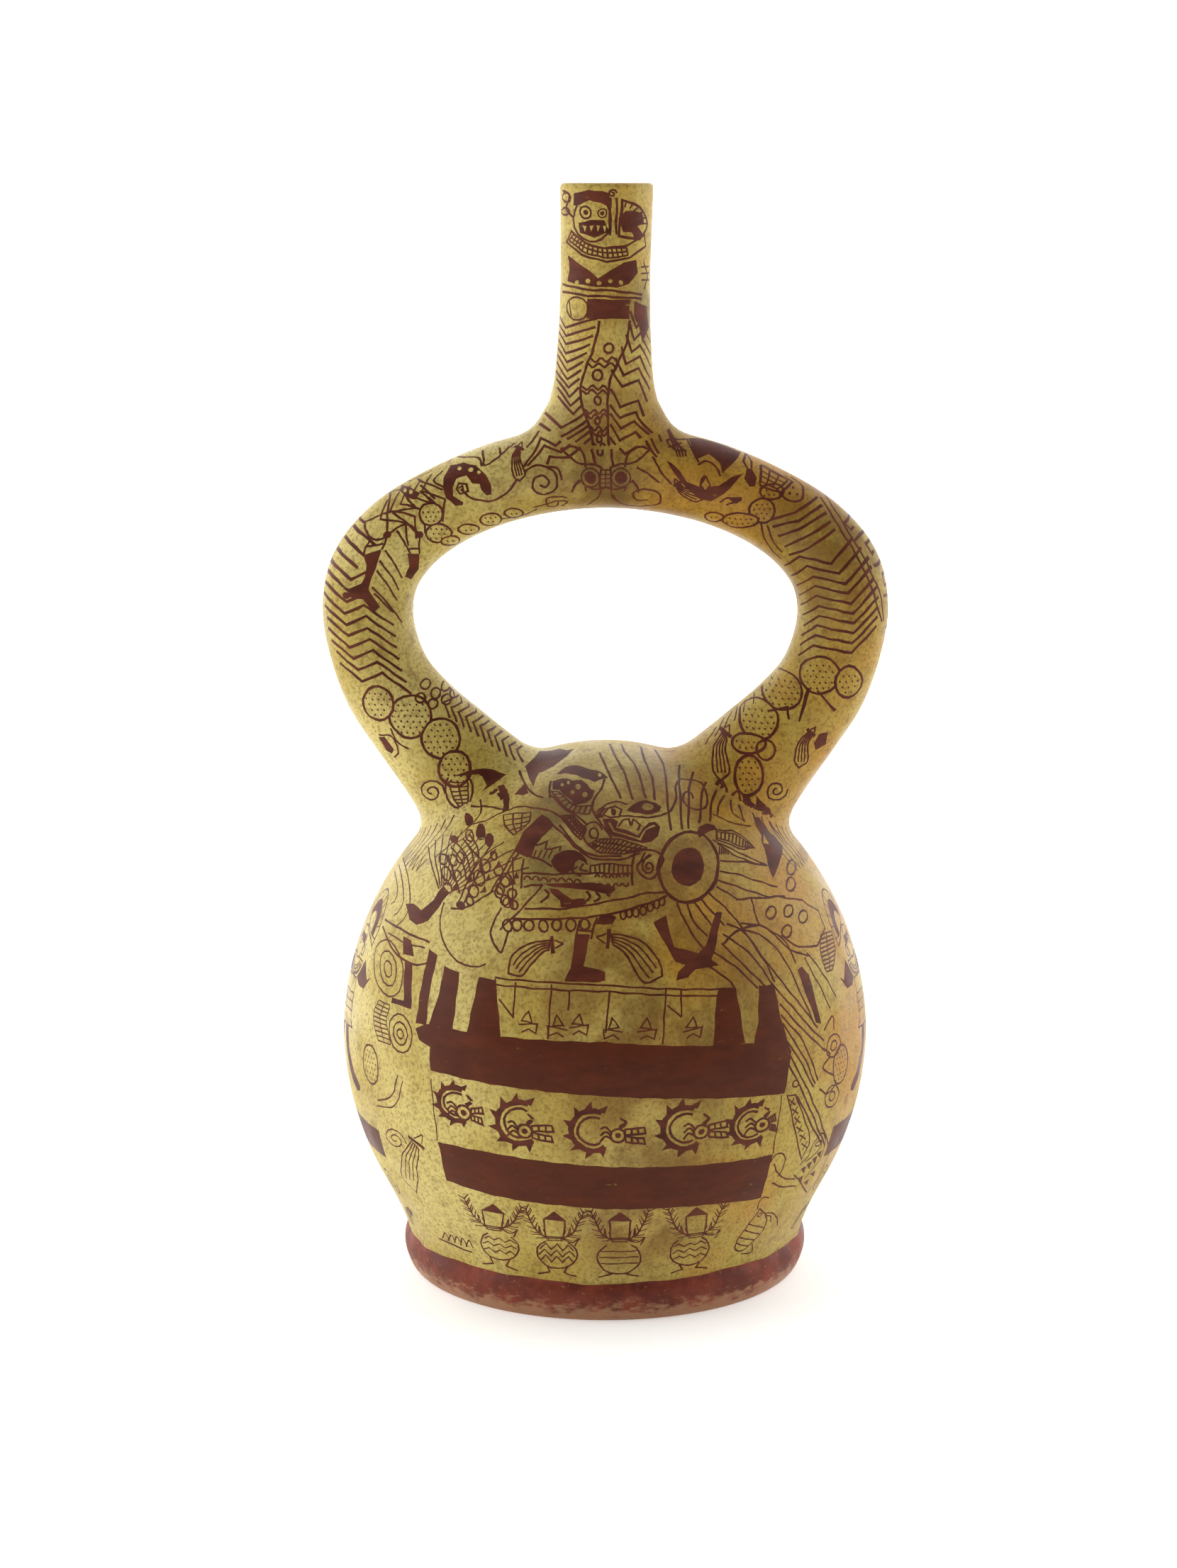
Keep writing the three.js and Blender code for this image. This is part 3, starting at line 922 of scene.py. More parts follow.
POSTS = [
    [(-46.8, 100.5), (-44.4, 99.5), (-46.6, 90), (-47.4, 81.5), (-50.3, 81.5), (-48.9, 91)],
    [(-42.6, 97.2), (-38.4, 96.4), (-40.2, 81.5), (-47, 81), (-44, 90)],
    [(-33.2, 96.2), (-28.9, 95.6), (-27.4, 81.5), (-36.5, 81.5), (-35.3, 87)],
    [(29.5, 93.8), (34, 93.3), (36.3, 79), (27.9, 79.2), (28.6, 91.5)],
    [(40, 92.8), (44.2, 92.6), (46, 84), (48, 77.5), (38.6, 78.4), (39.9, 84)],
]
for post in POSTS:
    front.fill(post, BAND)
rules(front, 0.4, [-46.2, 68, -44.6, 50.5], [46.5, 63.2, 44.3, 46.6])

HEADS = [
    ((-39.5, 62.3), 4.6, (-37.3, 60.3), -32.6), ((-22.6, 59.4), 5.8, (-21.2, 57.3), -14.2),
    ((-3.5, 58.3), 5.6, (3, 57), 9.8), ((20.6, 58.2), 5.8, (24.8, 56.8), 31.5),
    ((38.2, 56.8), 5.2, (41.1, 56), 44.6),
]
for middle, radius, eye, jaw in HEADS:
    crested_head(front, *middle, radius, eye, jaw)

jar(front, -30, 12.8, 26.4, 31.2, (-28.4, 20, 5.2), "waves")
jar(front, -13.6, 12.8, 25.4, 30.9, (-13, 19.8, 5.4), "zigzag")
jar(front, 3.7, 12.8, 25.5, 31.2, (3.5, 18.9, 5.8), "level")
jar(front, 24, 12.8, 25.2, 31.2, (22.4, 19.6, 5.3), "waves")
front.line(
    curve(
        (41.4, 29.4), (43, 26.4), (43.6, 23.4), (42.2, 20.4), (39.8, 17.8), (36.6, 15.8), (34.9, 17),
        (35.4, 19.8), (37.4, 23.4), (39.6, 26.4),
    ),
    0.5, closed=True,
)
strokes(front, 0.45, [35.4, 19.2, 36.8, 17.8, 38.6, 16.9], [36, 21.2, 37.8, 19.8, 40.4, 18.4],
    [37.2, 23.2, 39.4, 21.4, 41.8, 19.9], [38.4, 25, 40.8, 23.2, 43, 21.8],
    [39.8, 17.4, 39.6, 14.6, 36.6, 14.8], [40.8, 29.2, 41, 31.4, 42.2, 33, 43.8, 32.4],
    [42.8, 27, 45, 26.2, 46.6, 23.4, 47, 20.4], [43, 26.2, 44.6, 25, 44.8, 23.2])
small_ring(front, 41.4, 27.2, 0.6)
for over in range(5):
    front.line(
        curve((-44.5 + over * 1.7, 17), (-43.6 + over * 1.7, 19.6), (-42.4 + over * 1.7, 17.2)), 0.45,
    )
rules(front, 0.6, [-45.4, 16.6, -36, 15.6])
gourd(front, -50.8, 47.5, 15, 62, width=0.38, plump=0.7)
strokes(front, 0.5, [43.8, 44, 44.8, 45.8, 46.6, 46.2, 47.8, 44.4, 47.4, 41, 45.8, 38.6],
    [45, 43.4, 45.6, 40.6, 47.4, 38, 51, 35.8],
    [52.2, 40.2, 54.8, 42.4, 56.2, 46, 58.4, 47.8, 59.6, 44.4, 59, 40.6, 56.8, 37.2, 53.8, 34.6],
    [50.6, 37.4, 52.8, 33.8, 55.2, 28], [55.6, 28, 58.2, 31.4, 60.6, 37, 61.8, 42.4],
    [53.8, 40.4, 56.4, 41.6, 58.8, 43.4], [44.6, 37.2, 47.6, 34.8, 51.6, 33.2])
small_ring(front, 57.6, 44.8, 0.9, 0.45)
for x, z in ((53.4, 38.6), (55, 39.4), (56.5, 40.4), (57.9, 41.6)):
    front.fill([(x - 0.7, z), (x + 0.3, z - 2.2), (x + 0.9, z + 0.3)])
for x, z in ((52.6, 35.6), (54.6, 33.2), (56.4, 35.2)):
    front.fill([(x - 0.9, z), (x + 0.4, z - 1.9), (x + 0.8, z + 0.4)])

# The litter: a framed box of poles and cloths with small things laid out in it, resting on the platform.
rules(front, 0.5, [-28.9, 96.3, -14, 96.3, 0, 96, 29.5, 93.5], [-28.7, 94.7, 0, 94.5, 29.3, 91.9])
rules(front, 0.4, [-28.9, 96, -27.6, 82.2], [28.8, 91.7, 28.1, 79.8])
for foot, head in (
    ((-24.2, 87), (-23.5, 95.8)), ((-15.1, 82.2), (-14.2, 95.8)), ((-9.9, 89.5), (-9.4, 94.6)),
    ((-0.2, 84.2), (0.9, 94.6)), ((14.6, 80.8), (15.5, 94.8)), ((19.5, 87.4), (19.4, 94.3)),
):
    front.line([head, foot], 0.5)
rules(front, 0.5, [-27.8, 91.2, -24.1, 87], [15.8, 90.6, 19.5, 87.4])
for x, z, flip in (
    (-20.4, 85.5, 1), (-12.6, 85, -1), (-7.2, 85.6, 1), (1.8, 84.6, -1), (10.3, 84.4, 1), (22.3, 84, 1),
):
    g = front.moved(x, z, 0, 1, flip)
    g.line([(-1.5, 0.9), (0.2, 3.3), (1.3, 0.5)], 0.42, closed=True)
    rules(g, 0.42, [-2.4, -0.2, 2.6, 0.5, 2.2, -2, 0.2, -1, -1.6, -2])
gourd(front, -14.5, 105.3, 12, 8, width=0.5)
gourd(front, 1.2, 107, 14.5, -8, -1, width=0.5, plump=1.15)
patches(front, [-8, 108.2, -4.2, 108, -5.9, 100.6, -0.4, 99.3, -0.2, 97.2, -3, 96.6, -10.8, 96.8,
    -10.2, 98.6, -9.2, 99.8], [12.4, 110.6, 15.6, 112.2, 17.6, 104.6, 20.4, 104, 24, 102.6, 26, 104.4,
    28.8, 111.8, 30.4, 111.6, 28.4, 103, 27.6, 100.8, 29.6, 99.2, 27, 99, 23.2, 99, 21.4, 97.2, 18, 96.4,
    18.8, 98.6, 20.6, 100, 18, 101.2, 16.6, 103.2])

# The dome: the middle warrior with belt, kilt, collar and club arm, a rayed disc, and a bundle of long
# feathers. Behind them stands a second warrior, in a cape with ringed straps, whose dark hair runs up on to
# the arm.
for x, z in (
    (-25.8, 109), (-23.2, 109.4), (-20.2, 109.5), (-16.4, 109.7), (-12.8, 110), (-9.2, 110.2),
    (-5.6, 110.5),
):
    front.line(round_spot(x, z, 1.25, 1.1), 0.6, closed=True)
for x, z in (
    (4.4, 112.6), (6.1, 112.9), (7.8, 113.1), (9.6, 113.5), (11.4, 114.3), (13.2, 114.9), (14.7, 115.4),
):
    front.line(round_spot(x, z, 0.8, 1.3), 0.5, closed=True)
strokes(front, 0.62, [-24.4, 110.8, -13.6, 111.4, -1.6, 112.5, 8, 114.4, 15.8, 116.6],
    [-21.4, 113.4, -10.6, 114, -2, 115.4, 5, 116.5, 10, 117.4, 15.4, 117.6],
    [-16.6, 119.2, -22, 113.4, -27.8, 107.8],
    [-27.4, 113, -29.2, 110, -30.2, 107.2, -29.4, 104.6, -27.4, 102.6, -26.2, 105.8, -25.6, 108],
    [-21.8, 124.6, -22.1, 121.2, -22.4, 117.8], [-22, 121.4, -13.6, 121.7, -4.6, 122.2, 7, 122],
    [-21.8, 118.2, -19.6, 118.7, -16.6, 119.2], [-7, 111.4, -7.4, 109.4, -7.8, 107.4],
    [-2.2, 112, -3.4, 109.4, -4, 107], [-7.2, 109.2, -3.4, 108.6], [-46, 121, -41.6, 125, -36.4, 129.6,
    -32.4, 131.4, -28, 133.8, -22.4, 135.6, -18, 135.7, -13.8, 135, -10.6, 133.6, -8.8, 131.4],
    [-36, 133, -31.6, 134.2, -26.8, 134.6], [-39.2, 112.4, -35, 120.6, -30.6, 126.4],
    [-38, 112, -33.8, 120, -29.2, 125.8], [-30.4, 116.2, -25.8, 123.4, -22.2, 129.4],
    [-29, 116.8, -24.6, 123.4, -21.6, 127.8],
    [-41, 111, -39.2, 111.2, -35.8, 112.6, -33, 114.4, -29.6, 116.6],
    [-42.6, 122.4, -40.2, 118.6, -38.8, 114.6], [-36.6, 125.4, -33.6, 123.2, -32.4, 120.8])
for x, z, r in (
    (-29.8, 124.4, 0.9), (-32, 121.9, 1.4), (-33.6, 119, 1.6), (-35, 115.9, 1.4), (-36, 113.6, 1),
    (-26.4, 119.4, 1.5), (-27.8, 117.2, 1.2), (-24.6, 116.5, 1.2), (-26.6, 114.9, 1.2), (-24.2, 113.9, 1.1),
    (-42.6, 118.4, 1.4), (-43.6, 121.2, 1.2), (-41, 121.6, 1.2), (-42.2, 115.4, 1.2),
):
    small_ring(front, x, z, r, 0.6)
for x, z in (
    (-31.2, 119.2), (-28.6, 122.6), (-32.4, 116.4), (-36.2, 118.2), (-24.6, 119), (-23.8, 120.6),
    (-40.2, 115.6),
):
    front.fill([(x - 0.9, z - 0.8), (x + 0.9, z - 0.2), (x + 0.3, z + 1.2)])
for x, z, high in (
    (-36.8, 130.6, 1), (-40.8, 126, 0.7), (-38.4, 112.1, 0.8), (-33.4, 129.2, 1.2), (-31, 127.6, 1.3),
):
    front.fill(round_spot(x, z, 1.25, high))
net(
    front, curve((-27.4, 133.4), (-26.8, 131), (-24.4, 129.6)),
    curve((-19.8, 134.8), (-20.4, 133), (-22, 131.2)), 3, 4, 0.5,
)
net(
    front, curve((-41.6, 124.2), (-38.4, 121.8), (-37, 118)),
    curve((-36.8, 127.8), (-34.4, 126), (-33.8, 123)), 3, 4, 0.5,
)
for x in np.arange(-20.6, -7, 2.2):
    front.line(bow(x, 119.9, 0.9, 0, 180), 0.5)
for x in np.arange(-2.4, 7, 1.9):
    front.line(bow(x, 120, 0.8, 180, 360), 0.5)
    front.line(bow(x, 121.2, 0.6, 0, 180), 0.5)
net(front, [(-4.2, 122.2), (7, 122)], [(-4.2, 124), (1.6, 124.4), (6.6, 123.8)], 1, 9, 0.5)
patches(front, [-16.2, 119.5, -12, 119.7, -6, 120.1, -1.6, 119.9, 2, 119.3, 2.4, 118.4, 1.2, 117.4,
    -1.6, 117.9, -4.8, 118.3, -9, 118.7, -13.6, 118.7], [-14.8, 118.5, -12.6, 118.2, -10.8, 117.2,
    -8.8, 116.2, -5.8, 116.4, -5.2, 115.2, -7.6, 114.3, -11.8, 114.2, -12, 115.8, -14.2, 117.2])
strokes(front, 0.7, [-5.2, 118, -4.2, 116.8, -5.6, 115.6], [-2.6, 118, -1.6, 116.8, -3.4, 115.8],
    [0.2, 117.6, 1.2, 116.9], [-17.2, 115, -15, 117, -16, 118.2])
patches(front, [-2.6, 110.4, 1.6, 110.6, 2.6, 112.2, 0.6, 113, -1.8, 112.2], [-21.6, 131, -17, 134.4,
    -15.2, 133.9, -13.6, 132.6, -14.6, 131.6, -17, 129.8, -18.6, 127.6, -19.6, 125.5, -20.8, 125,
    -22, 125.2, -24, 125.9, -23.9, 126.8, -22.8, 128.8])
strokes(front, 0.62, [-20.2, 125.3, -17.2, 124.7, -14.2, 123.4])
rules(front, 0.6, [-18.4, 127.8, -15.6, 128.9, -16, 127.2, -14.6, 127.1, -12, 127.9, -12.4, 126.9])
for x in (-19, -17.6, -16.2, -14.8):
    front.line([(x - 0.3, 125), (x + 0.7, 126.9)], 0.5)
patches(front, [-14.4, 124.4, -13.6, 125.9, -12, 126.9, -10.2, 127.3, -8.2, 127.3, -6.4, 126.5, -5.2, 125.4,
    -4.8, 123.9, -6, 124.8, -7.2, 125.1, -8.2, 124.4, -8.4, 123.4, -9.4, 122.3, -11.2, 121.8, -12.6, 122.3,
    -13.8, 123.3])
strokes(front, 0.6, [-7.4, 123.6, -8.8, 122.6, -6.4, 121.6], [-6, 124.4, -6.8, 123, -4.8, 122.8])

# His head is a dark mask under a crescent; in front of it a fanged animal head with a curled tongue bares
# its jaw.
patches(front, [-19.4, 139.8, -20.6, 141, -21.4, 142.6, -20.2, 144, -18, 145.1, -15.6, 145.9, -12.8, 146.6,
    -8.6, 147, -12.6, 144.9, -15.4, 143.5, -18, 142.4, -18.8, 141.2], [-13.4, 142.8, -10.8, 144.3,
    -7.6, 144.7, -4, 144.2, -1.2, 143.6, 0.8, 142.7, -1.4, 142.2, -3, 141.6, -4.6, 142.2, -7.6, 142.9,
    -10.8, 143], [-14.4, 141.5, -11.6, 142.1, -8.8, 141.9, -6.4, 142.2, -4.8, 141.3, -4, 140.3, -2.8, 140,
    -3.6, 138.4, -5.4, 137.4, -8.2, 136.8, -9.2, 138.1, -11, 138.7, -12.4, 139.7, -14.2, 139.8])
for x, z, r in (
    (-7.4, 140.8, 0.8), (-10, 141.3, 0.5), (-5.6, 139.1, 0.8), (-11.8, 140.8, 0.5), (-9, 139.6, 0.6),
    (-1.6, 143, 0.5),
):
    front.fill(round_spot(x, z, r, 0.7), SLIP)
net(
    front, curve((-14.6, 139.4), (-12, 137.4), (-8.6, 135.4), (-4.4, 135.2)),
    curve((-12.6, 139.4), (-10.4, 138.1), (-7.8, 136.7), (-3.8, 137)), 1, 9, 0.55,
)
net(
    front, curve((-12.2, 134.6), (-9.2, 131.6), (-6.6, 129.6)),
    curve((-8.8, 134.8), (-6.8, 133.2), (-5.2, 132.2)), 4, 7, 0.62,
)
strokes(front, 0.66, [-14.8, 141.6, -15, 139.6, -14.8, 138],
    [-0.4, 142.4, -1.2, 140.4, -3.2, 138.2, -3.6, 136.3, 1.6, 130.2],
    [-14.6, 138.6, -10.6, 136, -7.6, 134.6, -4.8, 133],
    [-14, 132.6, -10.6, 130.2, -7.6, 127.6, -4, 125.8, 0, 125.2, 4.8, 125.5, 9, 126.6],
    [-12.4, 132.6, -9.2, 129.6, -5.6, 127, -1, 126, 4, 126.1],
    [-23.8, 143, -22.2, 140.4, -20.4, 138.8, -16.8, 138], [-2.8, 135.6, 0.4, 137.2, 3, 137.7, 5.8, 137.3],
    [4, 134.9, 8.8, 134.4, 13, 134.3, 14.4, 134.4, 17.4, 135.2, 18.8, 137.6, 19, 140, 20.4, 141,
    23.8, 140.3, 26.8, 138.2, 27.6, 136, 26.2, 134.8, 22.8, 135.2, 20.8, 136.9, 21.2, 138.5, 23, 138.4,
    23.6, 137], [7.8, 127, 6.8, 123.8, 7, 119.4],
    [7.8, 127, 12.6, 127, 15, 125.2, 14, 122.6, 11.6, 120.6, 8, 123.4, 12, 126.2])
patches(front, [-24.6, 137.8, -22.2, 140, -20.8, 138.4, -22.2, 137.8])
front.both([(-0.8, 134.9), (0.6, 136.3), (2.6, 136.8), (4.3, 136.2), (3.6, 134.7), (1.2, 134.5)], 0.6)
front.fill(round_spot(2.1, 135.6, 0.8))
patches(front, [-2.7, 135.2, -0.6, 136.5, 0.2, 136.4, -1.2, 135.1, -0.6, 134.4, -2, 134.3],
    [5.6, 136, 7, 137, 8.6, 137.6, 10.8, 137.9, 13.2, 137.3, 15, 136.2, 14.2, 135.3, 12.2, 134.9, 9.8, 135,
    7.4, 135.3])
front.fill(round_spot(11.2, 136.5, 1.6, 0.45), SLIP)
patches(front, [-1, 134.1, 2, 134.3, 3.2, 133.6, 2.6, 132.4, 5.4, 131.6, 8.4, 130.6, 9.8, 132, 11.4, 133.2,
    13, 133.2, 14.4, 132, 13.9, 130.1, 12, 128.9, 9.8, 128.7, 7, 129.4, 2.2, 130.4, 0.2, 131.8])
front.line([(0.8, 133.4), (2.2, 131.5), (8.9, 129.7), (10.6, 131.7), (13, 132.4)], 0.5, SLIP)
rules(front, 0.6, [3.2, 132.6, 4.6, 134, 6.2, 134, 6.6, 132.6, 7.4, 133.9, 9.2, 132.9, 8.4, 131.6])
net(
    front, curve((-4.8, 128.4), (-1.4, 126.9), (2.2, 126.5), (7.6, 126.9)),
    curve((-2, 129.9), (1.6, 129.9), (6, 129.2), (10.8, 127.6)), 3, 12, 0.5,
)
front.line(bow(-3.4, 130.8, 2.7, 20, 300), 0.6)
small_ring(front, -3.2, 131, 1.2, 0.6)
front.line(coil(11.2, 123.5, 1.9, 1.6, 120), 0.6)
strokes(front, 0.5, [9, 124.4, 10.4, 126.6], [10, 124.9, 11.6, 126.4])

front.line(round_spot(21.8, 122.6, 8, 0.98), 1, closed=True)
front.fill(round_spot(21.6, 122.8, 4.4, 0.98))
strokes(front, 0.7, [-1.6, 147, 1, 143.4, 4, 138.4], [1.2, 147.8, 5, 143.6, 7.2, 138.2],
    [4.4, 147.8, 8.4, 144, 10.8, 138.2], [9.6, 147.6, 12.4, 142.2, 13.2, 137.8],
    [13, 147, 16, 143.8, 16.4, 138.8, 17.2, 131.2], [20, 144, 20, 140, 20.2, 131],
    [24, 142.6, 22.6, 139, 22, 131], [28, 140.6, 26.2, 137.8, 25, 132],
    [30.8, 138.4, 28.8, 136, 27.8, 131.8])
strokes(front, 0.62, [32.2, 136, 30.6, 134.6, 30, 132.8],
    [28.6, 133.3, 32.6, 131.4, 36, 129.9, 39.4, 129.1], [33.2, 135.4, 35.2, 133.8, 37.8, 130.2],
    [33.2, 135.4, 34.6, 132.4, 37.8, 130.2], [38.2, 131.8, 43.8, 128.2, 49.8, 122.2],
    [28.6, 128, 35.2, 124.5, 43.4, 119.9, 35.2, 123.4, 29.8, 127.1], [30.2, 123.2, 36, 122.2, 43.2, 120.1],
    [30.2, 121, 35, 119.6, 41.8, 116.6, 46, 114.8], [29.6, 119, 34.8, 116.9, 41.2, 114.1, 44.8, 112.7],
    [29, 117.8, 34.4, 114.2], [27, 116.6, 31.4, 112.6, 34.2, 109.4, 40.6, 100.4, 44.6, 93],
    [25, 115.2, 28, 111.8, 31, 108.6], [23, 114.6, 25.6, 111.6, 29, 107.4],
    [21.2, 114.4, 22.8, 110.6, 26.4, 106.4], [18.6, 115, 20.2, 111.2, 23.4, 106, 26.2, 103],
    [34.2, 114.1, 38.4, 113.7, 45, 112.8, 48, 112.3], [38.4, 113.6, 39.4, 110.4, 40.6, 107.2],
    [30.4, 104, 34.2, 106.6, 38, 107.4, 41, 106.9, 44, 105, 46.4, 102.2, 50.4, 98.8, 54.6, 97])
patches(front, [24.2, 130.2, 25, 131.3, 27, 131.7, 29, 130.9, 29.9, 130, 27.6, 129.8, 25.8, 129.2,
    24.8, 128.8])
front.both(
    [(29.6, 130), (33.8, 129.1), (37.2, 127.2), (39.9, 124.5), (37, 124.7), (33.6, 126.2), (29.6, 128)],
    0.62,
)
net(
    front, [(29.8, 129.6), (33.8, 128.6), (37.2, 126.8), (39.4, 124.8)],
    [(29.8, 128.4), (33.6, 126.7), (37, 125.2), (39.2, 124.6)], 1, 11, 0.5,
)
for k in range(5):
    front.line([(30.3 + 0.55 * k, 126.4 - 0.3 * k), (30.1 + 0.6 * k, 124.6 - 0.1 * k)], 0.5)
patches(front, [39.8, 130.3, 40.9, 128.4, 42.2, 126.4, 42, 125.2, 42.8, 123.6, 43.4, 121.6, 43.6, 119.8,
    44.2, 117.8, 44.9, 117, 46.6, 119.2, 47.9, 121.2, 48.2, 122.6, 46.2, 125, 43.8, 127.2, 41.2, 129.6])
patches(front, [42.9, 126.4, 42.4, 124.9, 44.2, 124.2], finish=SLIP)
patches(front, [41.6, 131.6, 44.8, 130, 47.8, 126.4, 49.8, 123.2, 46.8, 126.4, 44, 128.9])
for g in (front, loop_front):
    g.line([(31, 140.4), (30, 139), (30.5, 137.6), (32.1, 138.8)], 0.5, closed=True)
strokes(front, 0.6, [31.6, 108.9, 36.6, 106, 42.2, 98.2, 49.4, 88.8, 56.6, 78.6],
    [30.6, 106.6, 37.6, 101.2, 44.6, 91.6, 52, 82.4, 58.2, 74.6], [30, 104.4, 38.2, 96.4, 42, 92.4],
    [45.8, 87.4, 52, 79.6, 58.6, 71.8], [28.2, 102.4, 34, 98.4, 39.8, 92.2],
    [46.2, 84.6, 52.4, 76, 56.8, 64.2], [26.2, 99.6, 31.6, 95.6, 33.8, 93], [46.6, 82.2, 52, 73, 56, 63.6],
    [46.8, 79.4, 51.8, 70.6, 55.4, 63], [47, 76.6, 52, 66.6, 57, 54.4, 61, 41.6],
    [47.2, 73.4, 51, 65.6, 55.4, 54.6, 59.6, 43], [50.8, 61.8, 55.2, 51.8, 58.6, 43.8],
    [35.2, 107.4, 41.6, 104.2, 47, 98.4, 51.6, 88.8, 55.6, 79.8],
    [35.4, 108.4, 41, 107, 47.4, 102.2, 50.6, 96], [53, 97, 56.8, 89.6, 60.4, 82.2],
    [53.6, 98, 58, 92, 62, 84.6], [58.4, 77.2, 60.8, 80, 61.4, 76.4],
    [58.2, 72.6, 60.2, 70, 58, 67.4, 61.2, 64.2], [57.2, 61.8, 59.6, 59.4, 62.2, 61])
small_ring(front, 50.2, 65.4, 0.9, 0.5)
front.line([(48, 62.6), (50.4, 62.4), (54.4, 50.2), (54.8, 46.2), (52.6, 42)], 0.5, closed=True)
for k in range(6):
    x, z = 49.2 + k * 0.82, 60.6 - k * 2.9
    front.line([(x - 0.8, z + 1), (x + 1.1, z - 1.1)], 0.45)
    front.line([(x - 0.5, z - 1.2), (x + 0.8, z + 1.1)], 0.45)
rules(front, 0.6, [46.4, 112.6, 53, 110, 57.8, 106, 59.4, 101.6, 57, 98.6, 51.2, 99.8, 46.6, 103.6])
for x, z in ((43.8, 109.4), (48.8, 108.8), (48.2, 104.2), (49.8, 114.4), (50.4, 117.6), (53, 106.4)):
    small_ring(front, x, z, 1.4, 0.62)
patches(front, [50.9, 94.6, 52.2, 95.2, 54.2, 92.4, 55.8, 86.4, 57.5, 79.4, 56, 80.2, 54, 86, 52.2, 90.4])
net(
    front, curve((58, 100.6), (57.8, 96), (59.4, 91.6)), curve((61.4, 100), (62.4, 96), (61.2, 91.2)), 2, 9,
    0.5,
)
for rise in (2.1, 0.9):
    front.line(round_spot(61.2, 72.2, rise, 1.5), 0.5, closed=True)
    front.line(round_spot(61, 58, rise, 1.5), 0.5, closed=True)
for width, dark in (
    (2.2, [(-38.4, 133.6), (-35.6, 136), (-32, 138.2), (-29.4, 139)]),
    (3, [(-31.6, 138.2), (-29, 138.6), (-27.2, 136.8)]),
    (1.8, [(-28, 138.4), (-26.8, 136.6), (-27, 134.2)]),
    (0.9, [(-33, 136.4), (-31, 136.2), (-28.8, 137.4)]),
):
    front.line(curve(*dark), width)
strokes(front, 0.6, [-33, 136.4, -33.2, 134.8, -34.2, 132, -36.4, 129.6],
    [-40.4, 132.8, -37.4, 134, -32.6, 136])

# The left flank: a kneeling leg under a great round shield, nested rings, a looped band and a boat-like
# bowl.
patches(front, [-43.4, 115.6, -41.6, 114.4, -47.2, 107, -50.6, 105.2, -52.6, 105.8, -54, 109, -51.6, 109.6,
    -49.2, 108.8, -46, 112])
front.line(bow(-35.6, 107.4, 8.4, 150, 300, 1.1), 0.5)
for turn in range(36, 150, 10):
    c, s = math.cos(math.radians(turn)), math.sin(math.radians(turn))
    front.line(
        curve((-42 + 3 * c, 113 + 3 * s), (-38 + 11 * c, 114 + 10 * s), (-34 + 17 * c, 114 + 15 * s)), 0.45,
    )
for x, z in (
    (-36.6, 127.6), (-33.4, 128.6), (-38.8, 122.6), (-39.6, 118.6), (-28.4, 121.4), (-26.6, 119),
    (-28.2, 116.4), (-26, 114.4),
):
    small_ring(front, x, z, 1.2, 0.5)
rules(front, 0.45, [-24.6, 124.6, -24.4, 113])
strokes(front, 0.6, [-60, 103.4, -54, 102.8, -46.6, 102], [-60.4, 101.6, -57, 97.4, -51, 95.8, -46, 97.8])
strokes(front, 0.45, [-58.6, 100.8, -53, 100.2, -48, 100.4])
patches(front, [-54.4, 101.6, -52, 101.4, -51, 97.6, -54, 97.4],
    [-53.7, 96, -51.4, 95.6, -51.6, 84.6, -57.2, 84.8, -57, 86.2, -53.8, 86.2])
for over, rise in ((4.4, 6.6), (2.5, 4.2), (1.2, 2)):
    front.line(round_spot(-58.4, 92.6, over, rise / over), 0.5, closed=True)
for over, rise in ((3.3, 5), (2, 3), (0.9, 1.3)):
    front.line(round_spot(-54.6, 77.6, over, rise / over), 0.5, closed=True)
net(front, curve((-61, 84), (-62.6, 79), (-61, 73.6)), curve((-57.8, 84), (-58.6, 79), (-57.4, 74)), 2, 9)
strokes(front, 0.5, [-61.6, 56.6, -57.6, 59.2, -55.4, 66.4])
strokes(front, 0.4, [-61.8, 54.6, -56.6, 57, -54, 65])
front.line(coil(-56.8, 46.6, 3.4, 1.9), 0.45)
for reach in (7.4, 5.4, 3.4):
    front.line(bow(-60, 110.4, reach, 300, 420, 1.1), 0.45)

# The flanks and the back: the same stock of figures, heads, gourds and feathers, drawn larger and more
# plainly.
for side in (-1, 1):
    g = round_wall(-math.pi / 2).moved(side * 100, 0)
    striding_figure(g, 0, 56, 1.12, side)
    patches(g, [-22, 48, 22, 46.8, 21, 38.4, -22, 39], finish=BAND)
    for x in (-14, 0, 14):
        g.line(coil(x, 30, 4.6, 2, way=side), 0.5)
        gourd(g, x + 3, 21, 8, 8)
    for k in range(9):
        g.line(curve((-16 + k * 3.8, 120), (-18 + k * 4.2, 127), (-15 + k * 3.6, 134)), 0.5)
        g.line([(-16 + k * 3.8, 120), (-14.1 + k * 3.8, 116.4), (-12.2 + k * 3.8, 120)], 0.5)
    dotted_ball(g, side * 24, 84, 5, 6.4)
    dotted_ball(g, side * -23, 66, 4.6, 5.4)
    gourd(g, side * 26, 70, 11, 70)
rear = round_wall(math.pi / 2)
patches(rear, [-58, 70, 0, 68.6, 58, 69.8, 58.6, 80.8, 0, 81.8, -58.6, 81],
    [-56, 37.4, 0, 35.8, 56, 37, 56.6, 48.2, 0, 49.4, -56.6, 48.8], finish=BAND)
for x in (-45, -23, -1, 21, 43):
    crested_head(rear, x, 58.6, 5.8, (x + 3.6, 57.2), x + 10.8)
for x in (-44, -22, 0, 22, 44):
    jar(rear, x, 13, 25.4, 31, (x, 19.4, 4.6), "waves" if x % 4 else "level")
for x in (-52, -40, 38, 50):
    rear.fill([(x - 3.6, 81), (x + 3.6, 81), (x + 2, 96), (x - 2, 96)], BAND)
for x, flip in ((-16, 1), (18, -1)):
    striding_figure(rear, x, 84, 0.92, flip)
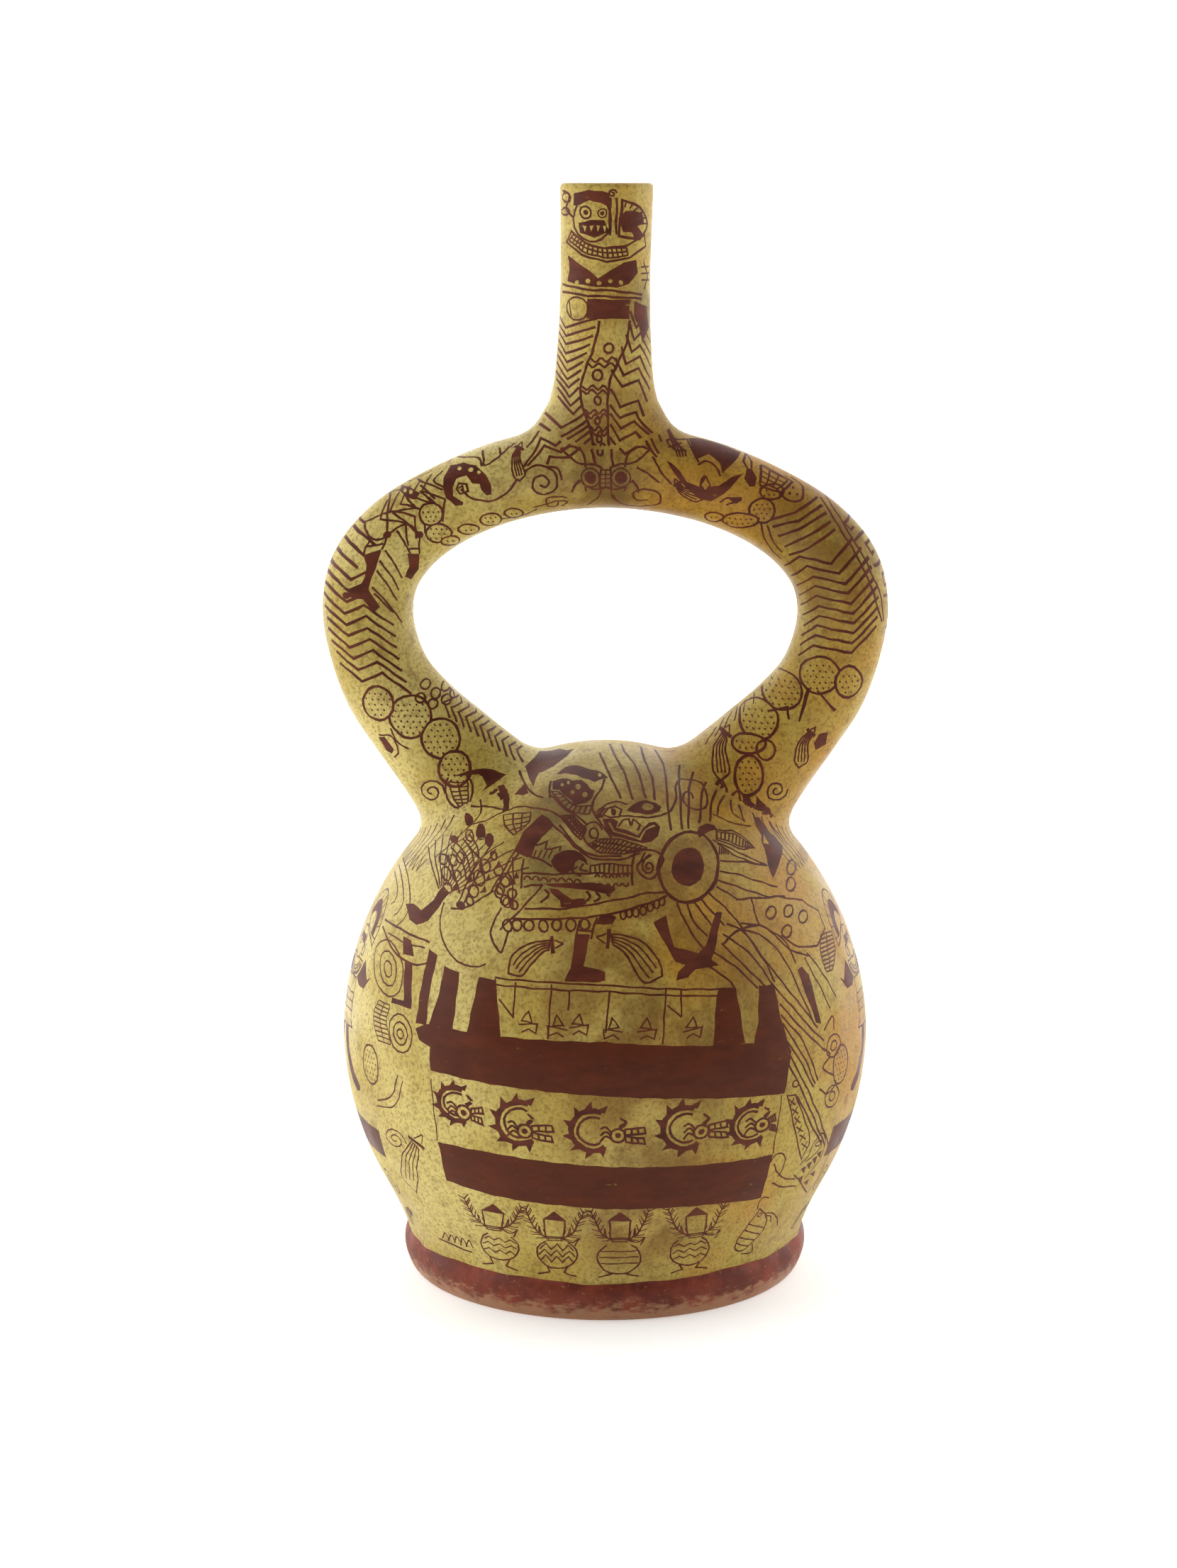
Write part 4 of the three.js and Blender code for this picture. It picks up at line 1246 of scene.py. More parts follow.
dotted_ball(rear, 1, 104, 5, 6)
for x in (-44, 42):
    rear.line(round_spot(x, 112, 7.6), 0.7, closed=True)
    rear.fill(round_spot(x, 112, 4))
    for turn in range(-150, -20, 13):
        c, s = math.cos(math.radians(turn)), math.sin(math.radians(turn))
        rear.line([(x + 8.2 * c, 112 + 8.2 * s), (x + 15 * c, 112 + 12 * s)], 0.5)


# The stirrup's painting: feathered chevrons run round both arms, with strings of netted balls hung below
# them. On the arch a many-legged creature climbs up to the spout, with dark heads, limbs and gourds on both
# sides.
def arm_middle(height):
    """How far out the middle of an arm lies at a height."""
    high = ARM_FOOT_Z + np.array([rise for _, rise, _ in ARM_LINE]) * (LOOP_TOP_Z - ARM_FOOT_Z)
    return np.interp(height, high, [reach * LOOP_REACH for reach, _, _ in ARM_LINE])


def round_tube(side, along, points):
    """Places on a tube's front, from pairs of millimetres up an arm and degrees round from its outer side."""
    middle = stirrup.along[-1] / 2
    return [(middle - side * (middle - along - up), math.radians(turn) * TUBE_RADIUS) for up, turn in points]


for k in range(13):
    z = 204 - k * 3.1
    x = -arm_middle(z)
    zigzag = [(x - 11.8, z + 4.6), (x - 5.6, z), (x - 0.2, z + 2.4), (x + 7.6, z - 3.4)]
    loop_front.line(zigzag[:2 + min(2, k // 3)], 0.75)
HIGH_CHEVRONS = [
    [(44.4, 210.8), (51, 212.6), (57.4, 216.6)], [(45, 208.8), (52, 210.6), (58.4, 214.4)],
    [(46.4, 206.2), (52, 208.2), (59.6, 212.4)], [(48.4, 203.4), (53.4, 205.8), (60.8, 210.2)],
    [(49.6, 200.8), (54.6, 203.2), (62, 208)],
]
for chevron in HIGH_CHEVRONS:
    loop_front.line(chevron, 0.75)
for k in range(10):
    z = 200.2 - k * 2.7
    x = arm_middle(z)
    loop_front.line(
        [(x - 11, z - 2.6), (x - 7, z + 0.6), (x + 1.2 + k * 0.2, z - 1.2), (x + 7.4 + k * 0.3, z + 5.6)],
        0.75,
    )
for off in (0, 1.7):
    loop_front.line(
        curve(
            (58.2 + off, 216.4), (62.2 + off, 210), (66.6 + off, 203), (70.4 + off, 196),
            (73.4 + off, 188.4), (75.2 + off * 0.3, 182.4),
        ),
        0.66,
    )
for k in range(4):
    inmost = 22 + k * 8
    square_hook = [(0, inmost), (0, 4), (4.2, 4), (4.2, inmost - 8), (2.1, inmost - 8), (2.1, inmost - 18)]
    round_loop.line(round_tube(-1, 71 + k * 6.3, square_hook), 0.7)
for k in range(5):
    round_loop.line(round_tube(1, 98 + k * 3, [(3, 28), (-1, 50), (3.4, 78), (0, 104)]), 0.6)

# On the left a runner with one dark leg bends over the corner of the arch, belted, with his bag behind him.
patches(loop_front, [-65.2, 201.4, -60.4, 202.9, -61.2, 199.8, -63, 195.4, -64, 192.2, -63, 190.2,
    -61, 187.2, -62.4, 185.8, -64, 187.4, -65.4, 189.4, -67.8, 189.6, -70.6, 190, -68.4, 192, -66.4, 192.9,
    -64.9, 195, -64.6, 198.4],
    [-53.4, 201.6, -50.2, 201.3, -50.8, 197, -52.6, 194.2, -54.2, 195.2, -53.2, 198])
for x, z in ((-58.8, 206.8), (-50.1, 206.7), (-70, 190.2)):
    loop_front.fill(round_spot(x, z, 1.15, 0.9))
strokes(loop_front, 0.62, [-65.6, 209.6, -60, 212, -54.8, 213.4, -50.4, 213.8],
    [-65.2, 210, -64.6, 207.4, -63.4, 205.8, -60.4, 205.6, -58.8, 206.8],
    [-63.4, 205.6, -64.6, 203.4, -65.2, 201.4], [-58.8, 206.8, -59.4, 204.6, -60.4, 202.8],
    [-58.8, 206.8, -54.8, 209.2, -52.2, 209.2, -50, 206.6], [-56.4, 207.8, -54, 204.4, -52.6, 201.6],
    [-50, 206.6, -50.4, 204, -50.2, 201.3], [-53.2, 202.8, -50.2, 202.8], [-64.4, 203.6, -60, 204.4],
    [-59, 206.8, -58.8, 212.2, -58.4, 217.4], [-57.4, 212.6, -53.6, 210, -50.4, 207],
    [-70.4, 212.4, -65.4, 209.8], [-59.6, 202.6, -57.2, 199.4, -55, 194.8],
    [-60.8, 199.8, -58.2, 196, -56, 191.6], [-61.8, 197.2, -58.8, 193, -56.4, 188.6],
    [-63, 192.8, -59, 188, -55.2, 182.6], [-62.6, 191, -57.4, 185.4],
    [-58.8, 217.4, -55, 218, -52.6, 215.4, -50.4, 213.6, -46, 215.2],
    [-50.2, 218.4, -47.4, 216, -45, 213.8], [-55.8, 219.4, -51.8, 221, -47, 223.6],
    [-50.8, 221.2, -47, 219.8, -43.6, 218.8], [-50, 219.8, -46, 216.4])
patches(loop_front, [-55.4, 219.4, -52.8, 219, -50, 217.8, -51.2, 216, -54, 216.8, -55.6, 217.9],
    [-47.8, 217, -46.2, 215.8, -44.2, 213.8, -45.2, 213.4, -46.8, 214.8])
for x, z in ((-52.6, 218), (-54.2, 218.2)):
    loop_front.fill(round_spot(x, z, 0.5), SLIP)
for x, z, across, high in (
    (-53, 157.3, 5.7, 5.8), (-61.8, 160.8, 4.2, 4.8), (-44.8, 151.4, 5.2, 5.3), (-41, 143.4, 4.4, 4.8),
    (58.2, 168.6, 5.4, 5), (48.2, 164, 5.3, 5), (41.8, 156.2, 5.2, 5.2), (66.2, 166.6, 3.8, 4.4),
    (39, 150, 4.6, 2.6), (39, 141.6, 3.9, 5.4),
):
    loop_front.fill(round_spot(x, z, across * 1.04, high / across), SLIP)
    dotted_ball(loop_front, x, z, across, high, 0.72)
small_ring(loop_front, 43.6, 148.4, 2.6, 0.6)
loop_front.line(coil(-47.4, 136.6, 3.8, 1.8), 0.5)
loop_front.line(coil(46.6, 137.2, 3.4, 1.8, way=-1), 0.5)
patches(loop_front, [-62, 151, -60.2, 151.4, -57.6, 148, -58.4, 146.6, -60, 147.2])
strokes(loop_front, 0.5, [-61.8, 151.8, -58.4, 151.6, -56.4, 147.4, -57.8, 145.6])
patches(loop_front, [58.2, 152.4, 60.8, 152.6, 60.2, 149.2, 57.4, 147.6, 56.8, 149.8])
gourd(loop_front, 55.6, 152.6, 9, 48)
gourd(loop_front, 32.6, 151.8, 10.4, 58)
rules(loop_front, (1.1, 0.6), [55.2, 165, 52.6, 156])
rules(loop_front, (0.5, 0.8), [57.4, 164.6, 62.6, 158.8])
rules(loop_front, 0.6, [44, 158.6, 49.6, 159.8, 49.8, 156.6])
strokes(loop_front, 0.5, [-58.6, 154, -57, 150.6, -53.6, 148.4])
patches(loop_front, [-41.5, 141.4, -37.2, 143.1, -33, 143.4, -30.2, 143, -27.8, 141.6, -26, 140, -26, 137.8,
    -26.8, 136.8, -27.2, 133.8, -28.2, 132.8, -28, 136.8, -29.5, 137.5, -31.8, 136.5, -33, 137,
    -32.5, 139.2, -33.4, 141.2, -34.5, 141.9, -37.2, 141.8])
loop_front.line(bow(-39.8, 137.8, 3.8, 140, 400, 1.25), 0.5)
net(
    loop_front, curve((-42.6, 139.8), (-41.4, 135.4), (-39, 132.8)),
    curve((-37.4, 139.8), (-37.2, 136), (-37.6, 132.8)), 2, 7,
)
for x, z in (
    (-49, 165.6), (-46.2, 163.2), (-43.6, 164.6), (-47, 160.6), (-50.4, 162.2), (-43.4, 161.2),
    (-41.2, 162.6),
):
    small_ring(loop_front, x, z, 1.3, 0.6)
for k in range(11):
    g = loop_front.moved(-42.6 + k * 1.95, 161.2 - k * 1.36)
    rules(g, 0.62, [2.8, 3.4, 0.4, 2.8, 1.4, 0.2, -1.4, -0.6, 0.2, -4.4])
for x, z, turn in ((27.8, 134.4, 8), (31.4, 136.6, -4), (34.6, 134, -20)):
    loop_front.moved(x, z, turn).line(
        curve((-1.3, -3.4), (-1.4, 1.6), (0, 3.8), (1.4, 1.6), (1.2, -3.4)), 0.5,
    )
gourd(loop_front, 38.4, 134.6, 7, 120)
patches(loop_front, [41.2, 136, 43.6, 133.4, 45.4, 129.4, 43.6, 129, 40.6, 133])
for k in range(7):
    loop_front.line(
        curve(
            (46 - k * 2.6, 168.6 - k * 2.6), (43.6 - k * 2.4, 165.6 - k * 2.4),
            (43 - k * 2.6, 162 - k * 2.2),
        ),
        0.45,
    )

# The creature's head with its ringed eyes hangs under the spout, and its last legs reach out over the arch.
for side in (-1, 1):
    ringed_eye(loop_front, side * 4.1, 222.1, 2.8, 0.6, 0.84)
    loop_front.line(
        curve((side * 0.9, 224.8), (side * 3.6, 225.6), (side * 7.2, 226), (side * 12, 229.4)), 0.6,
    )
    loop_front.line(
        curve((side * 5.2, 224.8), (side * 6.2, 228.4), (side * 9, 229.6), (side * 11.8, 229.4)), 0.6,
    )
    loop_front.line(curve((side * 6.9, 221.4), (side * 8.4, 219.6), (side * 9, 217.8)), (1, 0.5))
    loop_front.line(
        curve((side * 0.6, 219), (side * 3.4, 219), (side * 5.4, 219.8), (side * 5.2, 218.4)), 0.6,
    )
    loop_front.line(curve((side * 1.4, 218.6), (side * 1.8, 216.6), (side * 5, 214.2)), 0.5)
loop_front.both([(-1.3, 224.4), (1.3, 224.4), (1.7, 219.2), (-1.7, 219.2)], 0.5)
net(loop_front, [(-1.2, 224.2), (-1.5, 219.4)], [(1.2, 224.2), (1.5, 219.4)], 2, 4)
BIG_CURL = [
    (-39, 218.8), (-35.6, 216.4), (-30.8, 215.8), (-26.4, 218.2), (-22.4, 223.2), (-17.6, 225.4),
    (-13.6, 223.4), (-13.2, 219.6), (-16.4, 217.4), (-19.2, 218.8), (-19.4, 221.6), (-16.9, 222.8),
    (-15.3, 221), (-16.4, 219.4), (-17.8, 220.2),
]
loop_front.line(curve(*BIG_CURL), 0.66)
strokes(loop_front, 0.6, [-17, 225.2, -13, 224.6, -11.6, 221.4])
RIGHT_CURL = [
    (1.8, 217.4), (3.8, 214.8), (9.6, 214), (14.6, 214.9), (14.3, 217.6), (10.9, 219), (7.6, 217.8),
    (8.2, 216), (11.4, 215.9),
]
loop_front.line(curve(*RIGHT_CURL), 0.6)
strokes(loop_front, 0.55, [-10.4, 216.4, -12.6, 216.9, -15.8, 216.2, -15.6, 214.2, -13, 214.2,
    -12.6, 215.4])
gourd(loop_front, -23.4, 229.4, 7.4, 66, width=0.45)
gourd(loop_front, 19.4, 220.2, 7, 122, width=0.45)
strokes(loop_front, 0.6, [-41.4, 226.8, -34.2, 227, -33.2, 225],
    [-33.4, 229, -32.8, 226.8, -32.6, 225.2, -28, 228.2, -24.6, 231],
    [-44, 223.4, -46.4, 221, -43.6, 219.4], [-42.6, 225.4, -39.4, 228.4],
    [-28.6, 229.8, -28.2, 228.2, -25.8, 230.2])
patches(loop_front, [-43.8, 221.8, -41.8, 224.8, -38.4, 225.9, -35, 225, -32.2, 222.9, -30.8, 219.8,
    -30.6, 217.6, -32, 217.2, -33.4, 218.8, -33.8, 220.4, -35.8, 220.6, -37.4, 222.5, -40.2, 221.7,
    -41.2, 219.4, -40.9, 217, -38.2, 215.6, -38.4, 214.8, -40.4, 214.5, -42.8, 216.6, -43.8, 219.4])
for x, z, r in ((-36.4, 224, 0.8), (-39.4, 224.4, 0.6), (-34.2, 223.4, 0.5)):
    loop_front.fill(round_spot(x, z, r, 0.8), SLIP)
loop_front.line(
    [(-40.2, 218.9), (-39.6, 220.5), (-37.4, 220.2), (-37.1, 218.5), (-39.2, 217.6)], 0.6, closed=True,
)
rules(loop_front, 0.5, [-39.8, 219, -38.6, 219.8, -38.4, 218.6])
for x, z, across, high in (
    (-47, 212.2, 3.2, 3.1), (-45, 207, 3.4, 2.6), (-42, 204.6, 2.4, 1.4), (-31, 210.4, 2.9, 1.9),
    (-24.8, 212.2, 2.6, 1.4), (-37, 207.8, 2.8, 1.5), (42.1, 213.2, 3.4, 3.4), (44.8, 218.2, 3.2, 2.1),
    (36.4, 210.4, 4.8, 2.1), (29.4, 211.2, 2.6, 1.4),
):
    loop_front.fill(round_spot(x, z, across, high / across), SLIP)
    dotted_ball(loop_front, x, z, across, high, 0.66, 1.25)
strokes(loop_front, 0.6, [-19.4, 213.6, -16, 214.8, -13, 215.6, -10.4, 215.2, -11.8, 213.8],
    [-28, 210.6, -22, 211.4, -18.6, 213.2], [22.4, 232, 19.6, 231.8, 16.4, 231.2, 18.8, 229.4, 21.8, 229.2],
    [16.6, 229.8, 20.6, 231.2], [22, 232, 25, 226.2], [12.6, 227.6, 15, 223.4, 17.8, 220.2],
    [8.4, 225, 11.4, 223.2, 14.6, 220.8], [30.6, 215.4, 33.2, 216.8, 35.4, 216, 32.4, 214.8])
patches(loop_front, [22.4, 232.2, 27.6, 231.8, 35.2, 229, 36.8, 228.2, 33.4, 224.9, 31.4, 223.2,
    30.9, 225.8, 27.8, 228.2, 24.4, 227])
strokes(loop_front, 0.6, [24.6, 225.6, 27.2, 226.4, 29.8, 224.8, 30.8, 222.6])
patches(loop_front, [16.4, 226.6, 18.4, 223.2, 21.8, 219.1, 25.2, 216.4, 28.4, 215.6, 32.2, 217.9,
    35.2, 221.2, 37.2, 223.2, 34, 222.1, 30.4, 219.9, 28, 219.8, 26.6, 222.8, 25.6, 221.8, 25.2, 219.6,
    21.9, 221, 20, 223.9, 17.7, 226.2])
loop_front.both([(25.6, 220), (26.8, 218.4), (28.2, 220.2), (26.9, 222.4)], 0.5)
patches(loop_front, [38, 224.4, 37.4, 221.8, 38.8, 219.5, 40.3, 219.6, 40.7, 221.8, 39.4, 224.3])
rules(loop_front, 0.6, [38.2, 224.4, 37.1, 226, 38.2, 227.8, 39.5, 226, 39.2, 224.4])
patches(loop_front, [32.6, 216.9, 34.2, 216.9, 36.6, 216.9, 36.9, 215.9, 35.2, 215, 34, 215.8])
rules(loop_front, 0.66, [42, 225.2, 50.6, 220.6, 47.2, 217.8, 41.4, 220], [41.6, 220.2, 42, 225])
net(loop_front, [(42, 224.8), (41.8, 221)], [(49.4, 220.9), (46.4, 218.8)], 3, 3, 0.5)
strokes(loop_front, 0.66, [50.4, 221.6, 53.4, 219.2, 52.6, 215.8, 49.2, 216, 46, 218.8])
for x, z in ((50.6, 219.2), (51.6, 217.4), (49.6, 217.8)):
    loop_front.fill(round_spot(x, z, 0.4))
strokes(loop_front, 0.6, [41.8, 209.6, 43, 205.6, 45.4, 201.8, 47.6, 199.6],
    [43.6, 209.4, 45, 205.2, 48, 201.6])

# The back and the sides of the loop carry the same chevrons, balls and eyes, more openly spaced.
for side in (-1, 1):
    for k in range(22):
        points = [(7, -12), (0, -58), (4.2, -100), (-4, -160)]
        round_loop.line(round_tube(side, 36 + k * 3.9, points), 0.66)
    for x, z, reach in ((46, 211.4, 3.6), (36.6, 216, 3)):
        dotted_ball(loop_back, side * x, z, reach, reach)
    loop_back.line(coil(side * 22, 219.6, 4.4, 1.9, way=side), 0.6)
    ringed_eye(loop_back, side * 4.1, 222, 3, 0.58, 0.8)
    loop_back.line(curve((side * 8.4, 216), (side * 13, 217.6), (side * 15.4, 222.6)), 0.6)


# The spout's painting: a masked head with a fan crest and netted collar at the top, over a dark belt, and
# below it the creature's wavy ringed body between its many jointed legs.
def column_side(height, edge):
    high, over = zip(*edge)
    return np.interp(height, high, over)


def over_the_join(points, width):
    """A line that runs from the spout down over its foot on to the arch."""
    spout_front.line(points, width)
    loop_front.line(points, width)


COLUMN_LEFT = [
    (225.4, -2.8), (228.6, -3.6), (232, -4.6), (235, -5.6), (239, -7.1), (243, -7.8), (248, -7),
    (252, -5.4), (257, -3.3), (264, -1.6),
]
COLUMN_RIGHT = [
    (225.4, 2), (228.6, 1.6), (232, 1.3), (236, 1.2), (244, 0.8), (248.5, 1.5), (253.5, 3.9), (258, 5.8),
    (264, 6.4),
]
for edge in (COLUMN_LEFT, COLUMN_RIGHT):
    over_the_join(curve(*[(x, z) for z, x in edge]), 0.75)
for x, z, r in (
    (0.9, 256.7, 1.3), (-2.4, 249.5, 1.5), (-2.5, 242.8, 1.1), (-2.8, 237.2, 0.95), (-2.2, 232.6, 0.9),
    (-1.4, 228.4, 0.8),
):
    small_ring(spout_front, x, z, r, 0.66)
    small_ring(loop_front, x, z, r, 0.66)
for z in (253.6, 252.2, 246.2, 245, 239.8, 238.6, 235.2, 234, 230.8, 229.8):
    left, right = column_side(z, COLUMN_LEFT), column_side(z, COLUMN_RIGHT)
    waves = np.linspace(left, right, 13)
    over_the_join(np.column_stack([waves, z + 0.6 * np.cos((waves - left) * 1.9)]), 0.6)
for k in range(11):
    z = 262 - k * 2.3
    spout_front.line([(-13.4, z + 4.6), (-10.8, z), (column_side(z, COLUMN_LEFT) - 0.2, z + 2.6)], 0.7)
for k in range(6):
    z = 263 - k * 3.1
    left = column_side(z, COLUMN_RIGHT) + 0.3
    spout_front.line(
        [(left, z + 3.4), (max(left + 1.6, 5.2), z - 1.2), (9.4, z + 0.6), (12.2, z - 5.4)], 0.7,
    )
LEGS = [
    [(-7.2, 239.4), (-13.6, 235.4), (-16.4, 239)], [(-6.6, 237.6), (-13.8, 232.8), (-17, 236.2)],
    [(-6.3, 236.1), (-13.6, 231.4), (-16.7, 233.6), (-21.4, 229.9)],
    [(-5.8, 234.6), (-13.3, 229.9), (-17.2, 231.7), (-22, 225)],
    [(-5.3, 232.6), (-11.9, 228.6), (-16.3, 230), (-21.1, 225.2)],
    [(-4.6, 230.7), (-10, 227.2), (-15, 227.6), (-15.8, 225.6)],
    [(1.5, 246), (5.1, 241.1), (10, 242.5), (12.1, 238.3)],
    [(1.7, 241.6), (5.6, 238), (10, 239.6), (14.3, 232.6)],
    [(1.9, 239.3), (5.8, 235.2), (10, 237.2), (14.8, 231)],
    [(1.9, 236.6), (5.6, 232.2), (10, 234.2), (14.3, 228.2)],
    [(1.7, 233.1), (5.1, 229.9), (10, 231.8), (13.8, 227.4)], [(1.9, 230.7), (5.1, 228), (8.4, 229.6)],
]
for leg in LEGS:
    over_the_join(leg, 0.7)
for k in range(4):
    over_the_join(
        [(15.6 + k * 0.6, 234.6 - k * 0.6), (18.6 + k * 0.9, 229.8 - k * 0.2), (19.4 + k * 0.7, 227.6)],
        0.5,
    )

patches(spout_front, [-5, 269.7, 6.5, 269.4, 6.3, 264.4, -5.2, 264.4])
spout_front.both(bow(-7.6, 267, 2.9, 0, 360, 1.05)[:-1], 0.5)
rules(spout_front, 0.5, [-9.6, 268.8, -9.4, 265])
strokes(spout_front, 0.66, [-11.6, 273.4, -6, 272.2, 2, 271.8, 9.8, 270.6],
    [-11.6, 271.4, -6, 270.6, 0, 270.3, 9.6, 269.6])
patches(spout_front, [-10.2, 281, -7.6, 279.2, -4.8, 277.4, -2.2, 275.2, 1.2, 277.2, 4.8, 279.2, 8.2, 279.8,
    8.4, 276.6, 6.2, 273.6, 2.8, 272.6, -2.6, 272.9, -7.6, 273.4, -10.2, 274.2, -9.6, 277])
for k in range(5):
    spout_front.fill(round_spot(-7.6 + k * 2.9, 273.9 + k % 2 * 0.4, 0.62), SLIP)
spout_front.both(
    [
        (-10.4, 284.6), (-6.4, 281.2), (0, 279.4), (6.4, 280.4), (10.6, 283.4), (10.4, 286.4), (5.4, 283.6),
        (-0.4, 282.9), (-5.6, 284.2), (-9.2, 287.4),
    ],
    0.6,
)
net(
    spout_front, [(-9.8, 285), (-5.9, 281.9), (0, 280.3), (6, 281.1)],
    [(-8.6, 286.6), (-5.4, 284.2), (-0.2, 282.8), (5.4, 283.2)], 2, 13, 0.5,
)
spout_front.both(bow(-3.6, 290.6, 5, 0, 360, 1.2)[:-1], 0.6)
patches(spout_front, [-8.6, 294, -8.4, 297.4, -3, 298.4, 1, 297.4, 1.2, 293.4, -1.4, 294.8, -4.4, 295.4,
    -6.8, 294.2], [-7.2, 289.6, -4.2, 290.4, -0.4, 290.2, 0.8, 287.4, -3, 285.6, -6.8, 287])
for k in range(4):
    spout_front.fill([(-6 + k * 1.7, 288.8), (-5 + k * 1.7, 288.8), (-5.5 + k * 1.7, 287.2)], SLIP)
ringed_eye(spout_front, -5.4, 292.3, 1.8, 0.4, 0.72)
ringed_eye(spout_front, -0.9, 292, 1.4, 0.45, 0.72)
strokes(spout_front, 0.7, [-8.6, 290.8, -10.6, 293.4, -9.6, 296.8, -11.4, 297.8])
small_ring(spout_front, -10.4, 296.2, 1.2, 0.6)
small_ring(spout_front, -10.8, 292.6, 1, 0.55)
spout_front.line(coil(1.8, 297.2, 1.2, 1.4), 0.5)
rules(spout_front, 0.7, [1.1, 296.2, 1, 286.4], [2.9, 296, 2.7, 286.4])
spout_front.both(np.vstack([bow(3.6, 289.4, 7.4, -42, 84, 0.82), [(3.4, 286)]]), 0.75)
patches(spout_front, [3.4, 291, 5.2, 292.8, 7.6, 292.6, 9.8, 292, 10.1, 289.4, 8.4, 288.8, 10, 286.6,
    8, 284.6, 7, 287.2, 4.6, 287])
for turn in range(0, 90, 15):
    spout_front.line(
        [bow(3.6, 289.4, 5.4, turn, turn + 1, 0.82)[0], bow(3.6, 289.4, 7.2, turn, turn + 1, 0.82)[0]], 0.5,
    )
strokes(spout_front, 0.6, [10.2, 279.4, 11, 275.6, 10.4, 272])
for z in (278, 276.2, 274.4):
    spout_front.line([(9.4, z), (11.6, z)], 0.5)
patches(spout_front, [7.6, 269, 11, 267.4, 11.6, 262, 10, 258, 8.8, 262.4, 7.6, 265])

for side in (-1, 1):
    for k in range(20):
        z = 292 - k * 3.1
        round_spout.line(
            [(side * 18.5, z + 3), (side * 24.5, z), (side * 30, z + 3), (side * 37.2, z - 2)], 0.6,
        )

# The surface between the marks is cut into triangles from seeds: places in staggered rings and rows, which
# lie closer together on the foot ring and beside the joins, where the form turns faster.
STEP = 3.0
TUBE_STEP = 2.6
FOOT_STEP = 0.75
FOOT_STEPS_END = 15.0
INNER_STEP = 7.0
FILLET_STEPS = (0.9, 2.0, 3.3, 5.0)


def fillet_seeds(sheet):
    """Closer places round each hole, where the fillet turns."""
    return [
        grown(ring[0], distance * sheet.form.scale(ring[0]))
        for ring in sheet.rings[1:]
        for distance in FILLET_STEPS
    ]


def clear_of_fillets(sheet, seeds, distance=FILLET_STEPS[-1] + 1.0):
    for ring in sheet.rings[1:]:
        seeds = seeds[~within(grown(ring[0], distance * sheet.form.scale(ring[0])), seeds)]
    return seeds


def chamber_seeds(sheet, step, foot_step):
    """Places over the chamber's sheet, in staggered rings that are closer together on the foot ring."""
    form, rings = sheet.form, [np.zeros((1, 2))]
    along = foot_step
    while along < form.along[-1] - step / 2:
        radius = np.interp(along, form.along, form.line[:, 0])
        count = max(6, int(2 * math.pi * radius / step))
        turn = (np.arange(count) + len(rings) % 2 / 2) * 2 * math.pi / count
        rings.append(form.flat(turn, np.full(count, along)))
        along += foot_step if along < FOOT_STEPS_END else step
    return np.vstack([clear_of_fillets(sheet, np.vstack(rings)), *fillet_seeds(sheet)])


def strip_seeds(sheet, step):
    """Places over a tube's sheet, in staggered rows."""
    low, high = sheet.rings[0][0].min(axis=0), sheet.rings[0][0].max(axis=0)
    x, y = np.arange(low[0] + step / 2, high[0], step), np.arange(low[1] + step / 2, high[1], step)
    grid = np.stack(np.meshgrid(x, y), axis=-1)
    grid[1::2, :, 0] += step / 2
    return np.vstack([clear_of_fillets(sheet, grid.reshape(-1, 2)), *fillet_seeds(sheet)])


# The piece: every sheet of the skin, the rounded lip, the sole and the chamber's floor, in one closed mesh.
# Its map lays the front, the back, the crown, the loop and the spout side by side at one scale.
MAP_SIDE = 352.0
BACK_MAP_Y = 134.0
CROWN_MAP_PLACE = (291.0, 61.0)
CROWN_MAP_RADIUS = 60.0
CROWN_FROM = chamber.along[-1] - CROWN_MAP_RADIUS
HALF_ROUND = math.pi * BELLY_RADIUS
SMALL = 0.34


def gathered(sheet, seeds, lay_out, inward=False):
    """A cut sheet with its places on the map, turned to face the right way."""
    points, normals, flat, triangles, finishes = sheet.cut(seeds)
    if inward:
        normals = -normals
        finishes = np.full(len(triangles), CLAY)
    corners = points[triangles]
    facing = np.cross(corners[:, 1] - corners[:, 0], corners[:, 2] - corners[:, 0])
    wrong = (facing * normals[triangles].sum(axis=1)).sum(axis=1) < 0
    triangles[wrong] = triangles[wrong][:, ::-1]
    return points, normals, triangles, finishes, lay_out(flat[triangles], points[triangles])


def crown_and_walls(flat, corners):
    """The chamber on the map: the front and back halves of its wall, and its crown seen from above."""
    middle = corners.mean(axis=1)
    azimuth = np.arctan2(corners[..., 1], corners[..., 0])
    count = len(flat)
    along = chamber.turned(flat.reshape(-1, 2))[1].reshape(count, 3)
    crown = along.mean(axis=1) > CROWN_FROM
    front = middle[:, 1] < 0
    centre = np.where(front, -math.pi / 2, math.pi / 2)[:, None]
    across = (azimuth - centre + math.pi) % (2 * math.pi) - math.pi
    up_map = along + np.where(front, 1.0, BACK_MAP_Y)[:, None]
    wall = np.stack([HALF_ROUND / 2 + 1.0 + across * BELLY_RADIUS, up_map], axis=-1)
    out = chamber.along[-1] - along
    top = out[..., None] * np.stack([np.cos(azimuth), np.sin(azimuth)], axis=-1) + CROWN_MAP_PLACE
    return np.where(crown[:, None, None], top, wall)


def moved_map(x, y, scale=1.0):
    return lambda flat, corners: flat * scale + (x, y)


def from_below(x, y, scale):
    return lambda flat, corners: corners[..., :2] * scale + (x, y)


